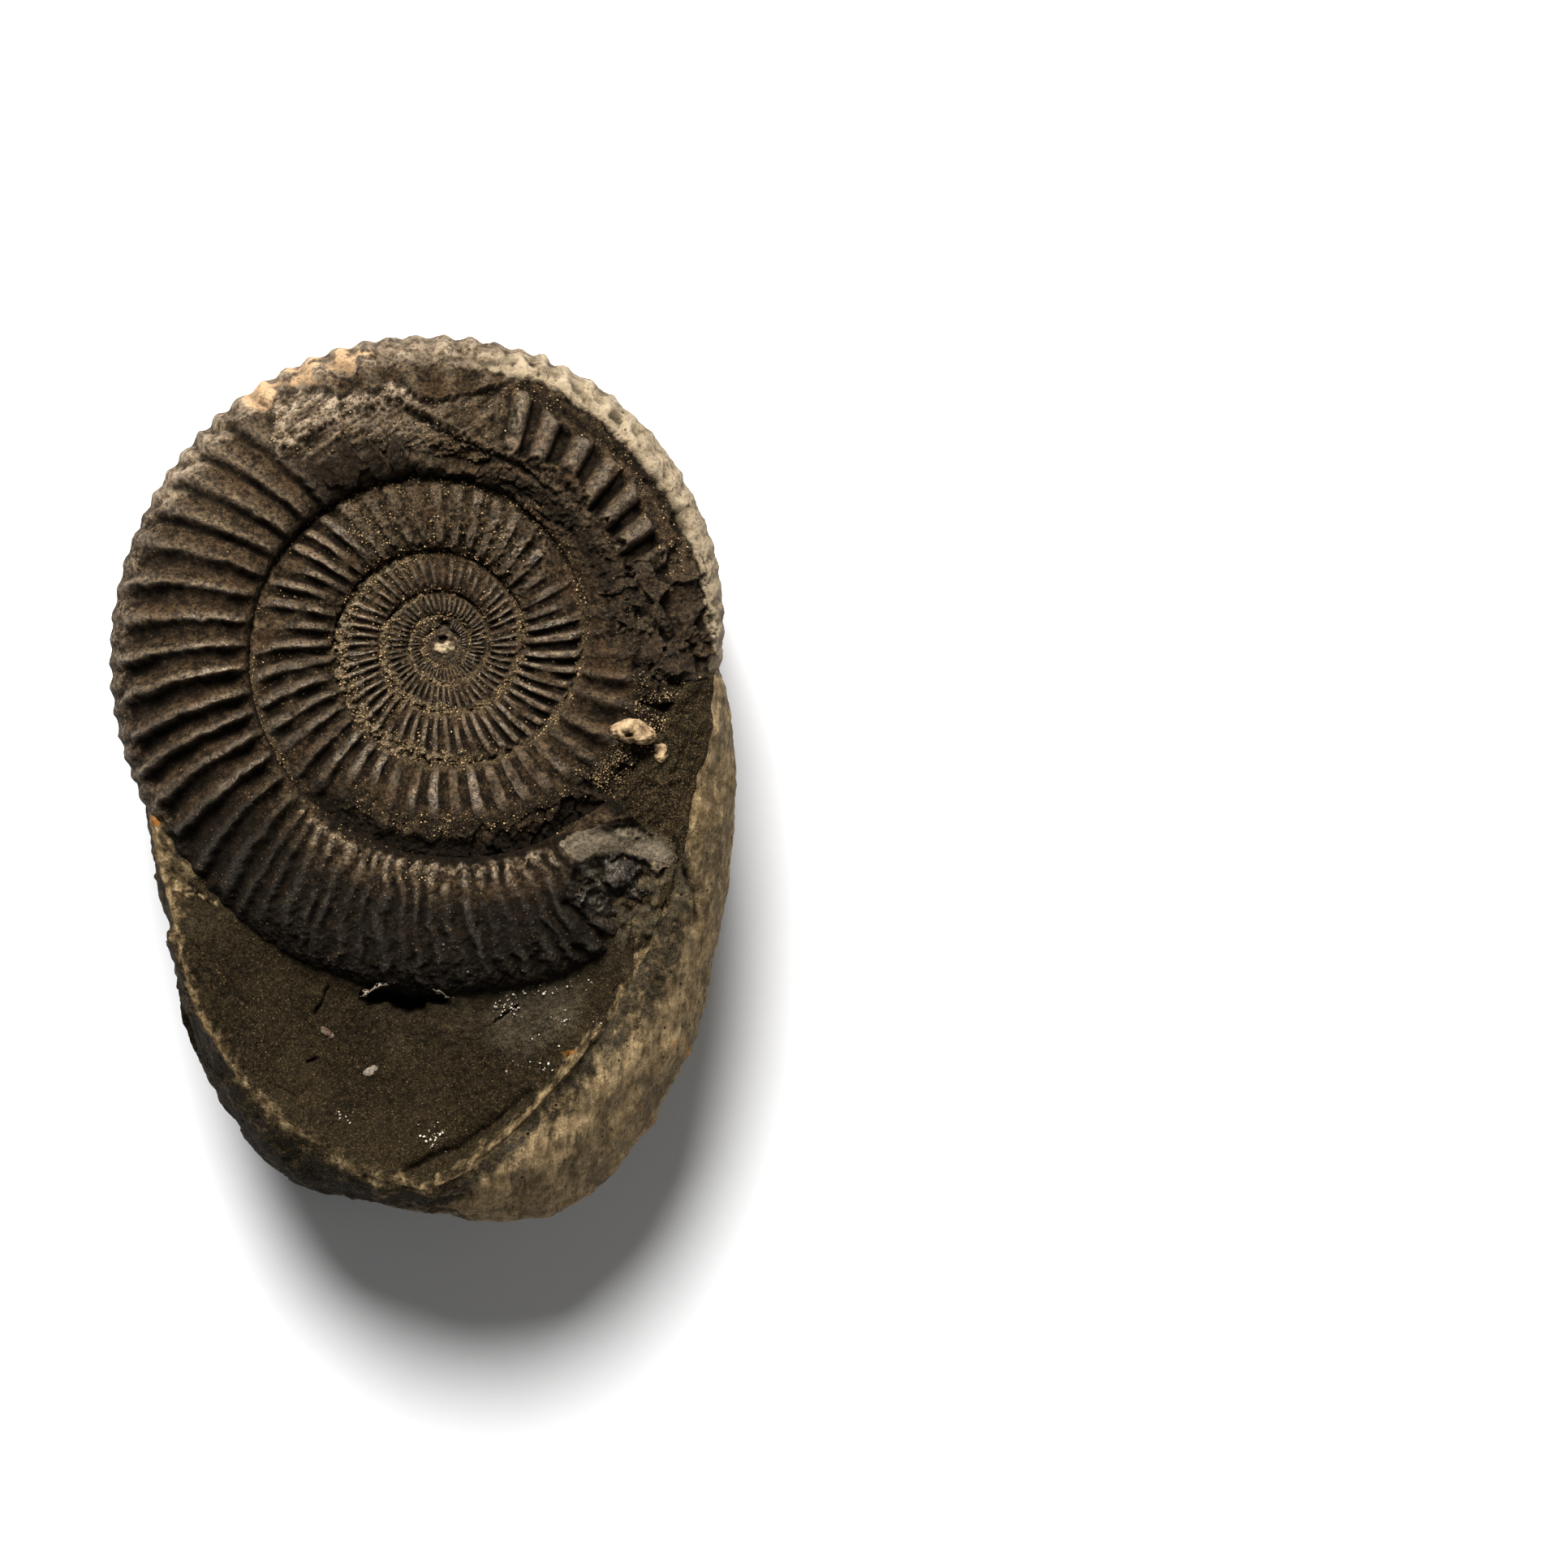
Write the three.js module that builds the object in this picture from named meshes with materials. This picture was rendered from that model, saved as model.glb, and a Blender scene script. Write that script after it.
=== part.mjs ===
// Half of a split rock nodule with a ribbed ammonite lying in relief in its upper face.
// Millimetres, +Z up. The origin is the middle of the outline, on the surface that the nodule rests on.
// Angles are degrees round the shell's centre, counted anticlockwise from +X as seen from above.
// A coil angle goes on counting through the whorls: it is negative inside the last whorl.
import * as THREE from 'three';

// Driving dimensions of the shell
const SHELL_X = 2.8;
const SHELL_Y = 16.7;
const MIDDLE_PLANE = 33;
const SEAM_RADIUS = 30.82;
const GROWTH = 0.0886;
const SEAM_SHIFT_X = -0.0213;
const SEAM_SHIFT_Y = 0.0253;
const VENTER_RADIUS = [34.0, 0.052, -0.000066];
const SEAM_SHARE = 0.765;
const CREST_SHARE = 0.28;
const CREST_HEIGHT = 7.4;
const UNDER_SHOULDER = { radiusShare: 0.935, drop: 4.8 };
const FOOT = { radiusShare: 0.8, drop: 6.6 };
const BREAK_ANGLE = 318;
const BREAK_TAPER = { from: 294, loss: 4.6 };

// Ribs: how many a turn, how their spacing varies round the shell, how high they stand and how far they lean.
// The odd third of a rib keeps the ribs of one whorl out of line with those of the next.
const COLUMNS_A_RIB = 3;
const RIBS_A_TURN = 48 + 1 / COLUMNS_A_RIB;
const RIB_DRIFT = 0.77;
const RIB_DRIFT_ANGLE = 225;
const RIB_PHASE = -0.29;
const RIB_RELIEF = 1.1;
const RIDGE_SHARE = 0.55;
const RIB_LEAN = 4;

// Sampling of the shell, outwards from the seam
const WALL_SHARE = 0.08;
const FLANK_SHARE = 0.52;
const SHOULDER_SHARE = 0.92;
const WHORLS_MODELLED = 5;
// The shell's flat foot and its seat fan out from a point this far from the centre, to one side of the break
const FAN_OFFSET = 6;

// The rock
const GAP = 0.35;
const VENTER_GAP = 0.8;
const LEAST_CLIMB = 0.08;
const LIP_WIDTH = 0.4;
const UPPER_RIM = { inset: 0.9, height: 26.8 };
const UPPER_BULGE = { inset: 0.5, height: 20 };
const BASE_SHARE = 0.68;
const SCOOP_DEPTH = 1.6;
const LUMP_SIZE = 0.9;
// Past the break the rock laps over the flank that the lost end of the whorl covered: the coil angles where
// it does so wholly and where it stops, how far in it reaches as a share of the whorl's width, and its gap
const LAP = { whole: -18, none: -8, share: 0.82, gap: 0.55 };

// Sampling of the rock: degrees between columns, and rows over its face, its side and below its widest line.
// At the shell's broken end its seat steps inwards, between two columns just past the break.
const ROCK_COLUMN_FINE = 3;
const ROCK_COLUMN_COARSE = 7.2;
const ROCK_STEP_ANGLES = [0.6, 1.6];
const LAP_SHARES = [0.35, 0.7];
const FACE_SHARES = [0.1, 0.28, 0.5, 0.72, 0.89];
const SIDE_SHARES = [0.33, 0.68];
const UNDERCUT_SHARES = [0.3, 0.58, 0.82];
const LEVEL_ROW = 2;
const FACE_ROW = 3;
const FACE_END_ROW = 4;

// Relief of the open face, each along a line: the lit ridge at its lower right, the groove inside that,
// a round chip in its lower left edge and the ledge at its left
const FACE_RELIEF = [
  { from: [4.2, -47.8], to: [22.2, -36.8], width: 2.4, rise: 1.3 },
  { from: [-2.5, -45.6], to: [9.0, -40.6], width: 2.2, rise: -1.3 },
  { from: [-19.6, -36.6], to: [-18.2, -38.2], width: 2.6, rise: -1.4 },
  { from: [-31.0, -7.5], to: [-24.0, -13.0], width: 3.0, rise: 1.0 },
];

// Edge of the rock's upper face, round its open part: angle, radius, height
const RIM = [
  [208, 42.0, 34.2], [217, 44.2, 35.2], [225, 47.4, 35.4], [238, 55.6, 35.0], [251, 61.6, 34.2],
  [266, 67.0, 33.6], [279, 61.4, 35.0], [292, 53.6, 35.6], [309, 43.6, 36.4], [328, 36.2, 37.0],
  [341, 34.9, 36.8], [351, 33.8, 35.4],
];
// Widest line of the rock's side below that edge: angle, radius, height
const BULGE = [
  [208, 42.6, 27], [217, 45.0, 27], [229, 51.4, 26], [240, 60.2, 25], [252, 68.2, 24],
  [266, 69.8, 23], [278, 72.2, 23], [287, 68.8, 23], [298, 60.8, 24], [312, 50.4, 25],
  [330, 41.2, 26], [346, 36.6, 26], [356, 34.4, 26],
];

const DEGREE = Math.PI / 180;
const TURN = 360;

const mix = (a, b, share) => a + (b - a) * share;

function smooth(low, high, value) {
  const share = THREE.MathUtils.clamp((value - low) / (high - low), 0, 1);
  return share * share * (3 - 2 * share);
}

// 1 between two limits, falling to 0 over a margin outside each.
function within(low, high, margin, value) {
  return smooth(low - margin, low, value) * smooth(high + margin, high, value);
}

// Radius of the line where a whorl meets the next one out.
function seamRadius(coil) {
  const angle = coil * DEGREE;
  const shift = 1 + SEAM_SHIFT_X * Math.cos(angle) + SEAM_SHIFT_Y * Math.sin(angle);
  return SEAM_RADIUS * Math.exp(GROWTH * angle) * shift;
}

// Radius of the shell's outer edge, where the next whorl hides it as well.
function venterRadius(coil) {
  if (coil >= BREAK_ANGLE - TURN) {
    const whole = VENTER_RADIUS[0] + VENTER_RADIUS[1] * coil + VENTER_RADIUS[2] * coil * coil;
    return whole - BREAK_TAPER.loss * smooth(BREAK_TAPER.from, BREAK_ANGLE, coil);
  }
  const inner = seamRadius(coil - TURN);
  return inner + (seamRadius(coil) - inner) / SEAM_SHARE;
}

function crestHeight(coil) {
  return CREST_HEIGHT * Math.exp(GROWTH * Math.min(coil, 0) * DEGREE);
}

// Height of a whorl's section over the middle plane, as a share of its crest's height.
function sectionHeight(share, start) {
  if (share < CREST_SHARE) {
    return start + (1 - start) * Math.sqrt(1 - ((CREST_SHARE - share) / CREST_SHARE) ** 2);
  }
  return Math.sqrt(Math.max(0, 1 - ((share - CREST_SHARE) / (1 - CREST_SHARE)) ** 2));
}

// Height of a whorl's flank, without its ribs, at a share of its width.
function flankHeight(coil, share) {
  const crest = crestHeight(coil);
  const seam = sectionHeight(SEAM_SHARE, 0) * crestHeight(coil - TURN);
  return MIDDLE_PLANE + crest * sectionHeight(share, seam / crest);
}

const ribCount = (coil) =>
  (coil * RIBS_A_TURN) / TURN + RIB_DRIFT * Math.sin((coil - RIB_DRIFT_ANGLE) * DEGREE) + RIB_PHASE;

// The coil angle of a column, of which each rib has a few.
function columnAngle(column) {
  const wanted = column / COLUMNS_A_RIB;
  let coil = (wanted * TURN) / RIBS_A_TURN;
  for (let pass = 0; pass < 20; pass += 1) {
    coil += ((wanted - ribCount(coil)) * TURN) / RIBS_A_TURN;
  }
  return coil;
}

// How far a rib leans forwards at a share of the whorl's width. None leans at the break, which is a plane.
function ribLean(coil, share) {
  const fromBreak = Math.abs(((coil - BREAK_ANGLE) % TURN + TURN + TURN / 2) % TURN - TURN / 2);
  return RIB_LEAN * share * share * smooth(0, 14, fromBreak);
}

// How the last whorl is worn: where its surface is flaked away, and by how much.
const WORN_EDGE = { degrees: 3, width: 0.6 };
const WORN = [
  { from: 62, to: 126, inner: 23.5, outer: 32.5, depth: 1.1 },
  { from: -6, to: 62, inner: 19.5, outer: 24.0, depth: 0.9 },
  { from: 6, to: 74, inner: 30.3, outer: 32.0, depth: 1.3 },
  { from: 301, to: 312, inner: 36.0, outer: 41.0, depth: 2.2 },
  { from: -22, to: -6, inner: 26.8, outer: 30.2, depth: 1.3 },
];

function wornDepth(coil, radius) {
  let depth = 0;
  for (const patch of WORN) {
    const along = within(patch.from, patch.to, WORN_EDGE.degrees, coil);
    const across = within(patch.inner, patch.outer, WORN_EDGE.width, radius);
    depth = Math.max(depth, patch.depth * along * across);
  }
  return depth;
}

// How clearly the ribs show: less where the shell is worn, on the end of the last whorl and under the rock.
function ribStrength(coil, radius) {
  const faded = 1 - 0.6 * smooth(218, 240, coil);
  const buried = smooth(LAP.none, LAP.whole, coil) * smooth(27.5, 29.5, radius);
  return faded * (1 - buried) * (1 - 0.8 * Math.min(1, wornDepth(coil, radius)));
}

// X and Y of a place given by its angle and radius about the shell's centre.
function place(angle, radius) {
  return [SHELL_X + radius * Math.cos(angle * DEGREE), SHELL_Y + radius * Math.sin(angle * DEGREE)];
}

// A list of vertices and triangles that becomes one closed mesh.
class Surface {
  constructor() {
    this.points = [];
    this.faces = [];
  }

  add(x, y, z) {
    this.points.push(x, y, z);
    return this.points.length / 3 - 1;
  }

  addPolar(angle, radius, z) {
    return this.add(...place(angle, radius), z);
  }

  face(a, b, c) {
    this.faces.push(a, b, c);
  }

  // Fills the strip between two columns of vertices, each a list of [share, vertex].
  zip(left, right) {
    let i = 0;
    let k = 0;
    while (i < left.length - 1 || k < right.length - 1) {
      const nextLeft = i < left.length - 1 ? left[i + 1][0] : Infinity;
      const nextRight = k < right.length - 1 ? right[k + 1][0] : Infinity;
      if (nextLeft <= nextRight) {
        this.face(left[i][1], left[i + 1][1], right[k][1]);
        i += 1;
      } else {
        this.face(left[i][1], right[k + 1][1], right[k][1]);
        k += 1;
      }
    }
  }

  mesh(name, colour, roughness) {
    const geometry = new THREE.BufferGeometry();
    geometry.setAttribute('position', new THREE.Float32BufferAttribute(this.points, 3));
    geometry.setIndex(this.faces);
    geometry.computeVertexNormals();
    const material = new THREE.MeshStandardMaterial({ color: colour, roughness, metalness: 0 });
    const mesh = new THREE.Mesh(geometry, material);
    mesh.name = name;
    return mesh;
  }
}

// Rows of a whorl, from its seam outwards: the share of its width, and how much of a rib's relief it has
const ROWS = [
  { share: 0, relief: 0 },
  { share: WALL_SHARE, relief: 0.5 },
  { share: CREST_SHARE, relief: 0.8 },
  { share: FLANK_SHARE, relief: 1 },
  { share: SEAM_SHARE, relief: 0.9 },
  { share: SHOULDER_SHARE, relief: 0.8 },
  { share: 1, relief: 0.45 },
];
const SEAM_ROW = 4;
const VENTER_ROW = 6;
const UNDER_SHOULDER_ROW = 7;
const FOOT_ROW = 8;
const FREE_ROWS = [0, 1, 2, 3, 4, 5, 6, 7, 8];
const INNER_ROWS = [[0, 1, 2, 3, 4], [0, 1, 2, 4], [0, 2, 4], [0, 2, 4]];

const COLUMNS_A_TURN = Math.round(RIBS_A_TURN * COLUMNS_A_RIB);
const LAST_COLUMN = Math.round(ribCount(BREAK_ANGLE) * COLUMNS_A_RIB);
const FREE_COLUMN = LAST_COLUMN - COLUMNS_A_TURN;
const FIRST_COLUMN = LAST_COLUMN - COLUMNS_A_TURN * WHORLS_MODELLED;
const BROKEN_END = columnAngle(LAST_COLUMN);

// One point of the shell's surface, as angle, radius and height.
function shellPoint(column, row) {
  const straight = columnAngle(column);
  if (row > VENTER_ROW) {
    const venter = venterRadius(straight);
    return row === FOOT_ROW
      ? [straight, venter * FOOT.radiusShare, MIDDLE_PLANE - FOOT.drop]
      : [straight, venter * UNDER_SHOULDER.radiusShare, MIDDLE_PLANE - UNDER_SHOULDER.drop];
  }
  const { share, relief } = ROWS[row];
  const coil = straight + ribLean(straight, share);
  const venter = venterRadius(coil);
  const inner = seamRadius(coil - TURN);
  const ridge = column % COLUMNS_A_RIB === 0 ? RIDGE_SHARE : RIDGE_SHARE - 1;
  const size = RIB_RELIEF * (crestHeight(coil) / CREST_HEIGHT) * relief * ridge;
  let radius = mix(inner, venter, share);
  const rib = size * (coil > BREAK_ANGLE - TURN ? ribStrength(coil, radius) : 1);
  let height = flankHeight(coil, share);
  if (row === VENTER_ROW) {
    radius += rib;
  } else {
    height += rib - (coil > BREAK_ANGLE - TURN ? wornDepth(coil, radius) : 0);
  }
  return [coil, radius, height];
}

// The ribbed shell: one long strip that coils outwards, whose whorls share their seams.
function makeAmmonite() {
  const surface = new Surface();
  const known = new Map();

  const vertex = (column, row) => {
    if (row === 0 && column - COLUMNS_A_TURN >= FIRST_COLUMN) {
      return vertex(column - COLUMNS_A_TURN, SEAM_ROW);
    }
    const key = `${column} ${row}`;
    if (!known.has(key)) {
      known.set(key, surface.addPolar(...shellPoint(column, row)));
    }
    return known.get(key);
  };

  const rowsAt = (column) => {
    if (column >= FREE_COLUMN) {
      return FREE_ROWS;
    }
    const whorlsIn = Math.floor((FREE_COLUMN - 1 - column) / COLUMNS_A_TURN);
    return INNER_ROWS[whorlsIn];
  };

  for (let column = FIRST_COLUMN; column < LAST_COLUMN; column += 1) {
    const rows = rowsAt(column);
    const outermost = rows[rows.length - 1];
    const nextRows = rowsAt(column + 1).filter((row) => row <= outermost);
    surface.zip(
      rows.map((row) => [row, vertex(column, row)]),
      nextRows.map((row) => [row, vertex(column + 1, row)]),
    );
  }
  closeMiddle(surface, vertex);
  closeUnderside(surface, vertex);
  closeBrokenEnd(surface, vertex);
  return surface.mesh('ammonite', '#4b3f33', 0.6);
}

// Closes the coil's start with a small cone.
function closeMiddle(surface, vertex) {
  const tip = surface.add(SHELL_X, SHELL_Y, MIDDLE_PLANE + 0.5 * crestHeight(columnAngle(FIRST_COLUMN)));
  for (let column = FIRST_COLUMN; column < FIRST_COLUMN + COLUMNS_A_TURN; column += 1) {
    surface.face(tip, vertex(column, 0), vertex(column + 1, 0));
  }
  const start = INNER_ROWS[INNER_ROWS.length - 1];
  for (let step = start.length - 1; step > 0; step -= 1) {
    surface.face(tip, vertex(FIRST_COLUMN, start[step]), vertex(FIRST_COLUMN, start[step - 1]));
  }
}

// Closes the flat underside round a point that sees the whole of its edge.
function closeUnderside(surface, vertex) {
  const middle = surface.addPolar(BROKEN_END - 90, FAN_OFFSET, MIDDLE_PLANE - FOOT.drop);
  for (let column = FREE_COLUMN; column < LAST_COLUMN; column += 1) {
    surface.face(vertex(column, FOOT_ROW), middle, vertex(column + 1, FOOT_ROW));
  }
  surface.face(vertex(LAST_COLUMN, FOOT_ROW), middle, vertex(FREE_COLUMN, FOOT_ROW));
}

// Closes the face where the last whorl is broken across.
function closeBrokenEnd(surface, vertex) {
  const innerRows = [FOOT_ROW, UNDER_SHOULDER_ROW, VENTER_ROW, SEAM_ROW + 1];
  const outline = [
    ...FREE_ROWS.map((row) => [LAST_COLUMN, row]),
    ...innerRows.map((row) => [FREE_COLUMN, row]),
  ];
  const flat = outline.map(([column, row]) => {
    const [, radius, height] = row === 0 ? shellPoint(FREE_COLUMN, SEAM_ROW) : shellPoint(column, row);
    return new THREE.Vector2(radius, height);
  });
  const corners = outline.map(([column, row]) => vertex(column, row));
  for (const [a, b, c] of THREE.ShapeUtils.triangulateShape(flat, [])) {
    const clockwise = THREE.ShapeUtils.area([flat[a], flat[b], flat[c]]) < 0;
    surface.face(corners[a], corners[clockwise ? b : c], corners[clockwise ? c : b]);
  }
}

// Radius and height at an angle, on a smooth closed line through points of angle, radius and height.
function onRing(points, angle) {
  const count = points.length;
  const turned = ((angle % TURN) + TURN) % TURN;
  const point = (index) => {
    const [at, radius, height] = points[((index % count) + count) % count];
    return [at + TURN * Math.floor(index / count), radius, height];
  };
  const after = points.findIndex(([at]) => at > turned);
  const index = (after === -1 ? count : after) - 1;
  const [p0, p1, p2, p3] = [index - 1, index, index + 1, index + 2].map(point);
  const width = p2[0] - p1[0];
  const share = (turned - p1[0]) / width;
  return [1, 2].map((k) => {
    const slope1 = ((p2[k] - p0[k]) / (p2[0] - p0[0])) * width;
    const slope2 = ((p3[k] - p1[k]) / (p3[0] - p1[0])) * width;
    const s2 = share * share;
    const s3 = s2 * share;
    return (2 * s3 - 3 * s2 + 1) * p1[k] + (s3 - 2 * s2 + share) * slope1
      + (3 * s2 - 2 * s3) * p2[k] + (s3 - s2) * slope2;
  });
}

// 1 where the rock's upper face lies open beside the shell, 0 where the shell reaches the nodule's edge.
function openShare(angle) {
  const turned = ((angle % TURN) + TURN) % TURN;
  return smooth(205, 213, turned) * smooth(360, 350, turned);
}

// How far the rock stands over the shell's middle plane where it meets the shell.
const contactRise = (angle) => mix(2.6, 1.2, smooth(222, 245, angle)) + 1.6 * smooth(285, 305, angle);

// How much the open face is hollowed between the shell and its edge.
const scoopShare = (angle) => smooth(228, 245, angle) * smooth(300, 285, angle);

// Extra height of the open face at a place: its ridge, groove, chip and ledge.
function faceRelief(x, y) {
  let height = 0;
  const at = new THREE.Vector3(x, y, 0);
  const nearest = new THREE.Vector3();
  for (const { from, to, width, rise } of FACE_RELIEF) {
    const line = new THREE.Line3(new THREE.Vector3(...from, 0), new THREE.Vector3(...to, 0));
    line.closestPointToPoint(at, true, nearest);
    height += rise * Math.exp(-((nearest.distanceTo(at) / width) ** 2));
  }
  return height;
}

// Gentle unevenness of the rock's outside, from -1 to 1.
function lump(x, y, z) {
  const broad = Math.sin(0.21 * x + 0.13 * y + 1.1) * Math.cos(0.17 * z + 0.19 * y);
  return 0.6 * broad + 0.4 * Math.sin(0.33 * x - 0.27 * y + 0.31 * z);
}

// The rock's section at an angle, from its seat under the shell round to its base: row, radius, height.
function rockSection(angle) {
  const venter = venterRadius(angle);
  const open = openShare(angle);
  const [rimRadius, rimHeight] = onRing(RIM, angle);
  const [bulgeRadius, bulgeHeight] = onRing(BULGE, angle);
  const floor = [venter * FOOT.radiusShare + GAP / 2, MIDDLE_PLANE - FOOT.drop - GAP];
  const shoulderHeight = MIDDLE_PLANE - UNDER_SHOULDER.drop - GAP / 2;
  const shoulder = [venter * UNDER_SHOULDER.radiusShare + 1.3 * GAP, shoulderHeight];
  const climb = mix(LEAST_CLIMB, 1, open);
  const level = [mix(shoulder[0], venter + VENTER_GAP, climb), mix(shoulder[1], MIDDLE_PLANE, climb)];
  const rise = mix(LEAST_CLIMB, contactRise(angle), smooth(0.8, 1, open));
  const wallTop = [level[0] + LEAST_CLIMB, level[1] + rise];
  const lapped = smooth(LAP.none, LAP.whole, angle);
  const lapPoint = (along) => {
    const share = mix(1, LAP.share, along);
    const radius = mix(seamRadius(angle - TURN), venter, share) + LAP.gap * share;
    const height = flankHeight(angle, share) + LAP.gap;
    return [mix(wallTop[0], radius, lapped), mix(wallTop[1], height, lapped)];
  };
  const contact = lapPoint(1);
  const edge = Math.max(mix(venter - UPPER_RIM.inset, rimRadius, open), contact[0] + LIP_WIDTH);
  const rim = [edge, mix(UPPER_RIM.height, rimHeight, open)];
  const widest = mix(venter - UPPER_BULGE.inset, bulgeRadius, open);
  const bulge = [widest, mix(UPPER_BULGE.height, bulgeHeight, open)];

  const raised = ([radius, height], share) => {
    const relief = faceRelief(...place(angle, radius));
    return [radius, height + open * share * relief];
  };
  const uneven = ([radius, height], size) => {
    const offset = size * lump(...place(angle, radius), height);
    return [radius + offset, height];
  };

  const section = [floor, shoulder, level].map((point, row) => [row, ...point]);
  if (lapped > 0) {
    section.push(...LAP_SHARES.map((along) => [LEVEL_ROW + along, ...lapPoint(along)]));
  }
  section.push([FACE_ROW, ...contact]);
  if (open > 0) {
    for (const share of FACE_SHARES) {
      const hollow = SCOOP_DEPTH * scoopShare(angle) * Math.sin(Math.PI * share);
      const point = [mix(contact[0], rim[0], share), mix(contact[1], rim[1], share) - hollow];
      section.push([FACE_ROW + share, ...raised(point, smooth(0, 0.3, share))]);
    }
  }
  section.push([FACE_END_ROW, ...raised(rim, 1)]);
  for (const share of SIDE_SHARES) {
    const round = 0.25 * TURN * share * DEGREE;
    const point = [mix(rim[0], bulge[0], Math.sin(round)), mix(bulge[1], rim[1], Math.cos(round))];
    section.push([FACE_END_ROW + share, ...uneven(point, LUMP_SIZE * open)]);
  }
  section.push([FACE_END_ROW + 1, ...bulge]);
  const base = bulge[0] * BASE_SHARE;
  for (const share of UNDERCUT_SHARES) {
    const round = 0.25 * TURN * share * DEGREE;
    const point = [mix(base, bulge[0], Math.cos(round)), bulge[1] * (1 - Math.sin(round))];
    section.push([FACE_END_ROW + 1 + share, ...uneven(point, LUMP_SIZE)]);
  }
  section.push([FACE_END_ROW + 2, ...uneven([base, 0], LUMP_SIZE)]);
  return section;
}

// The rock: rings round the shell's centre, closed at the middle of its seat and of its base.
function makeRock() {
  const surface = new Surface();
  const last = BROKEN_END + ROCK_STEP_ANGLES[0];
  const angles = [];
  for (let angle = BROKEN_END + ROCK_STEP_ANGLES[1] - TURN; angle < last - ROCK_COLUMN_FINE / 2;) {
    angles.push(angle);
    angle += angle > 0 && angle < 200 ? ROCK_COLUMN_COARSE : ROCK_COLUMN_FINE;
  }
  angles.push(last);
  const columns = angles.map((angle) => rockSection(angle).map(
    ([row, radius, height]) => [row, surface.addPolar(angle, radius, height)],
  ));
  const seat = surface.addPolar(BROKEN_END - 90, FAN_OFFSET, MIDDLE_PLANE - FOOT.drop - GAP);
  const base = surface.add(0, 0, 0);
  columns.forEach((column, index) => {
    const next = columns[(index + 1) % columns.length];
    surface.face(seat, column[0][1], next[0][1]);
    surface.zip(column, next);
    surface.face(column[column.length - 1][1], base, next[next.length - 1][1]);
  });
  return surface.mesh('nodule_rock', '#5a4f3f', 0.85);
}

// Crumb of pale mudstone that lies on the flank of the last whorl
const CRUMB_RADIUS = 27.6;
const CRUMB_ANGLE = 334.5;
const CRUMB_HEIGHT = 40.12;
const CRUMB_SIZE = [3.5, 2.0, 1.5];
const CRUMB_FLAT = -0.35;
const CRUMB_TILT = 22;
const CRUMB_TURN = -38;

function makeCrumb() {
  const crumb = new THREE.IcosahedronGeometry(1, 2);
  const position = crumb.getAttribute('position');
  const p = new THREE.Vector3();
  for (let index = 0; index < position.count; index += 1) {
    p.fromBufferAttribute(position, index);
    const tail = 1 - 0.3 * smooth(0.1, 0.9, p.x);
    const knobs = 0.13 * Math.sin(5.1 * p.x + 1.3) * Math.cos(4.3 * p.y);
    const uneven = 1 + knobs + 0.08 * Math.sin(7.7 * p.z + 2.1 * p.x);
    const bottomed = Math.max(p.z, CRUMB_FLAT);
    position.setXYZ(
      index,
      p.x * uneven * CRUMB_SIZE[0],
      p.y * uneven * tail * CRUMB_SIZE[1],
      bottomed * uneven * tail * CRUMB_SIZE[2],
    );
  }
  crumb.computeVertexNormals();
  const mesh = new THREE.Mesh(crumb, new THREE.MeshStandardMaterial({ color: '#a18b69', roughness: 0.9 }));
  mesh.name = 'mudstone_crumb';
  mesh.rotation.set(0, CRUMB_TILT * DEGREE, CRUMB_TURN * DEGREE, 'ZYX');
  mesh.position.set(...place(CRUMB_ANGLE, CRUMB_RADIUS), CRUMB_HEIGHT);
  return mesh;
}

const specimen = new THREE.Group();
specimen.add(makeRock(), makeAmmonite(), makeCrumb());

export default specimen;
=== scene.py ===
"""Half of a split rock nodule with a ribbed ammonite lying in relief in its upper face.

Lengths are millimetres until a mesh is made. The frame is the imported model's own: +Z up, the origin on the
surface that the nodule rests on. Angles are degrees round the shell's centre, anticlockwise from +X. A coil
angle goes on counting through the whorls: it is negative inside the last whorl.
"""

import logging
import math
from dataclasses import dataclass, field
from enum import Enum
from functools import partialmethod

import bpy
import numpy as np
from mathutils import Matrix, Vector


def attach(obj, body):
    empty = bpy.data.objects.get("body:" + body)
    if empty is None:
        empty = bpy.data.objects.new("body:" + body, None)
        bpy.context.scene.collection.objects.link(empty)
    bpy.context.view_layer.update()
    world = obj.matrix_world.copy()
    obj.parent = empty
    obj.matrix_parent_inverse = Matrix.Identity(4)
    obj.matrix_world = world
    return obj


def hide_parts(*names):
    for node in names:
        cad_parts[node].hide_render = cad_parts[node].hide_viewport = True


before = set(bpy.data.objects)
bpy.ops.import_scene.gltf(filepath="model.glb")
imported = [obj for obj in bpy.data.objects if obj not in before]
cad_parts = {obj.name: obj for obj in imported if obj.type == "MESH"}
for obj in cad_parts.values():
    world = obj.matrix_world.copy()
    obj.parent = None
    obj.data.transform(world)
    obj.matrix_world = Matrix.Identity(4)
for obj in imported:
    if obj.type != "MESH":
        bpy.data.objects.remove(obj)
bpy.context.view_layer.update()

Array = np.ndarray
Point = tuple[float, float]
Triple = tuple[float, float, float]
Socket = bpy.types.NodeSocket
log = logging.getLogger("nodule")

TURN = 360.0
METRES = 0.001
WARM_WHITE = (1.0, 0.92, 0.80, 1)


class Slot(Enum):
    """Names of the material slots."""

    MUDSTONE = "mudstone"
    SHELL = "fossil_shell"
    CRUST = "pale_crust"


class Node(Enum):
    """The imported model's nodes that pieces stand for."""

    ROCK = "nodule_rock"
    SHELL = "ammonite"
    CRUMB = "mudstone_crumb"


def mix(a: Array, b: Array, share: Array) -> Array:
    """Blends from a to b."""
    return a + (b - a) * share


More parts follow.
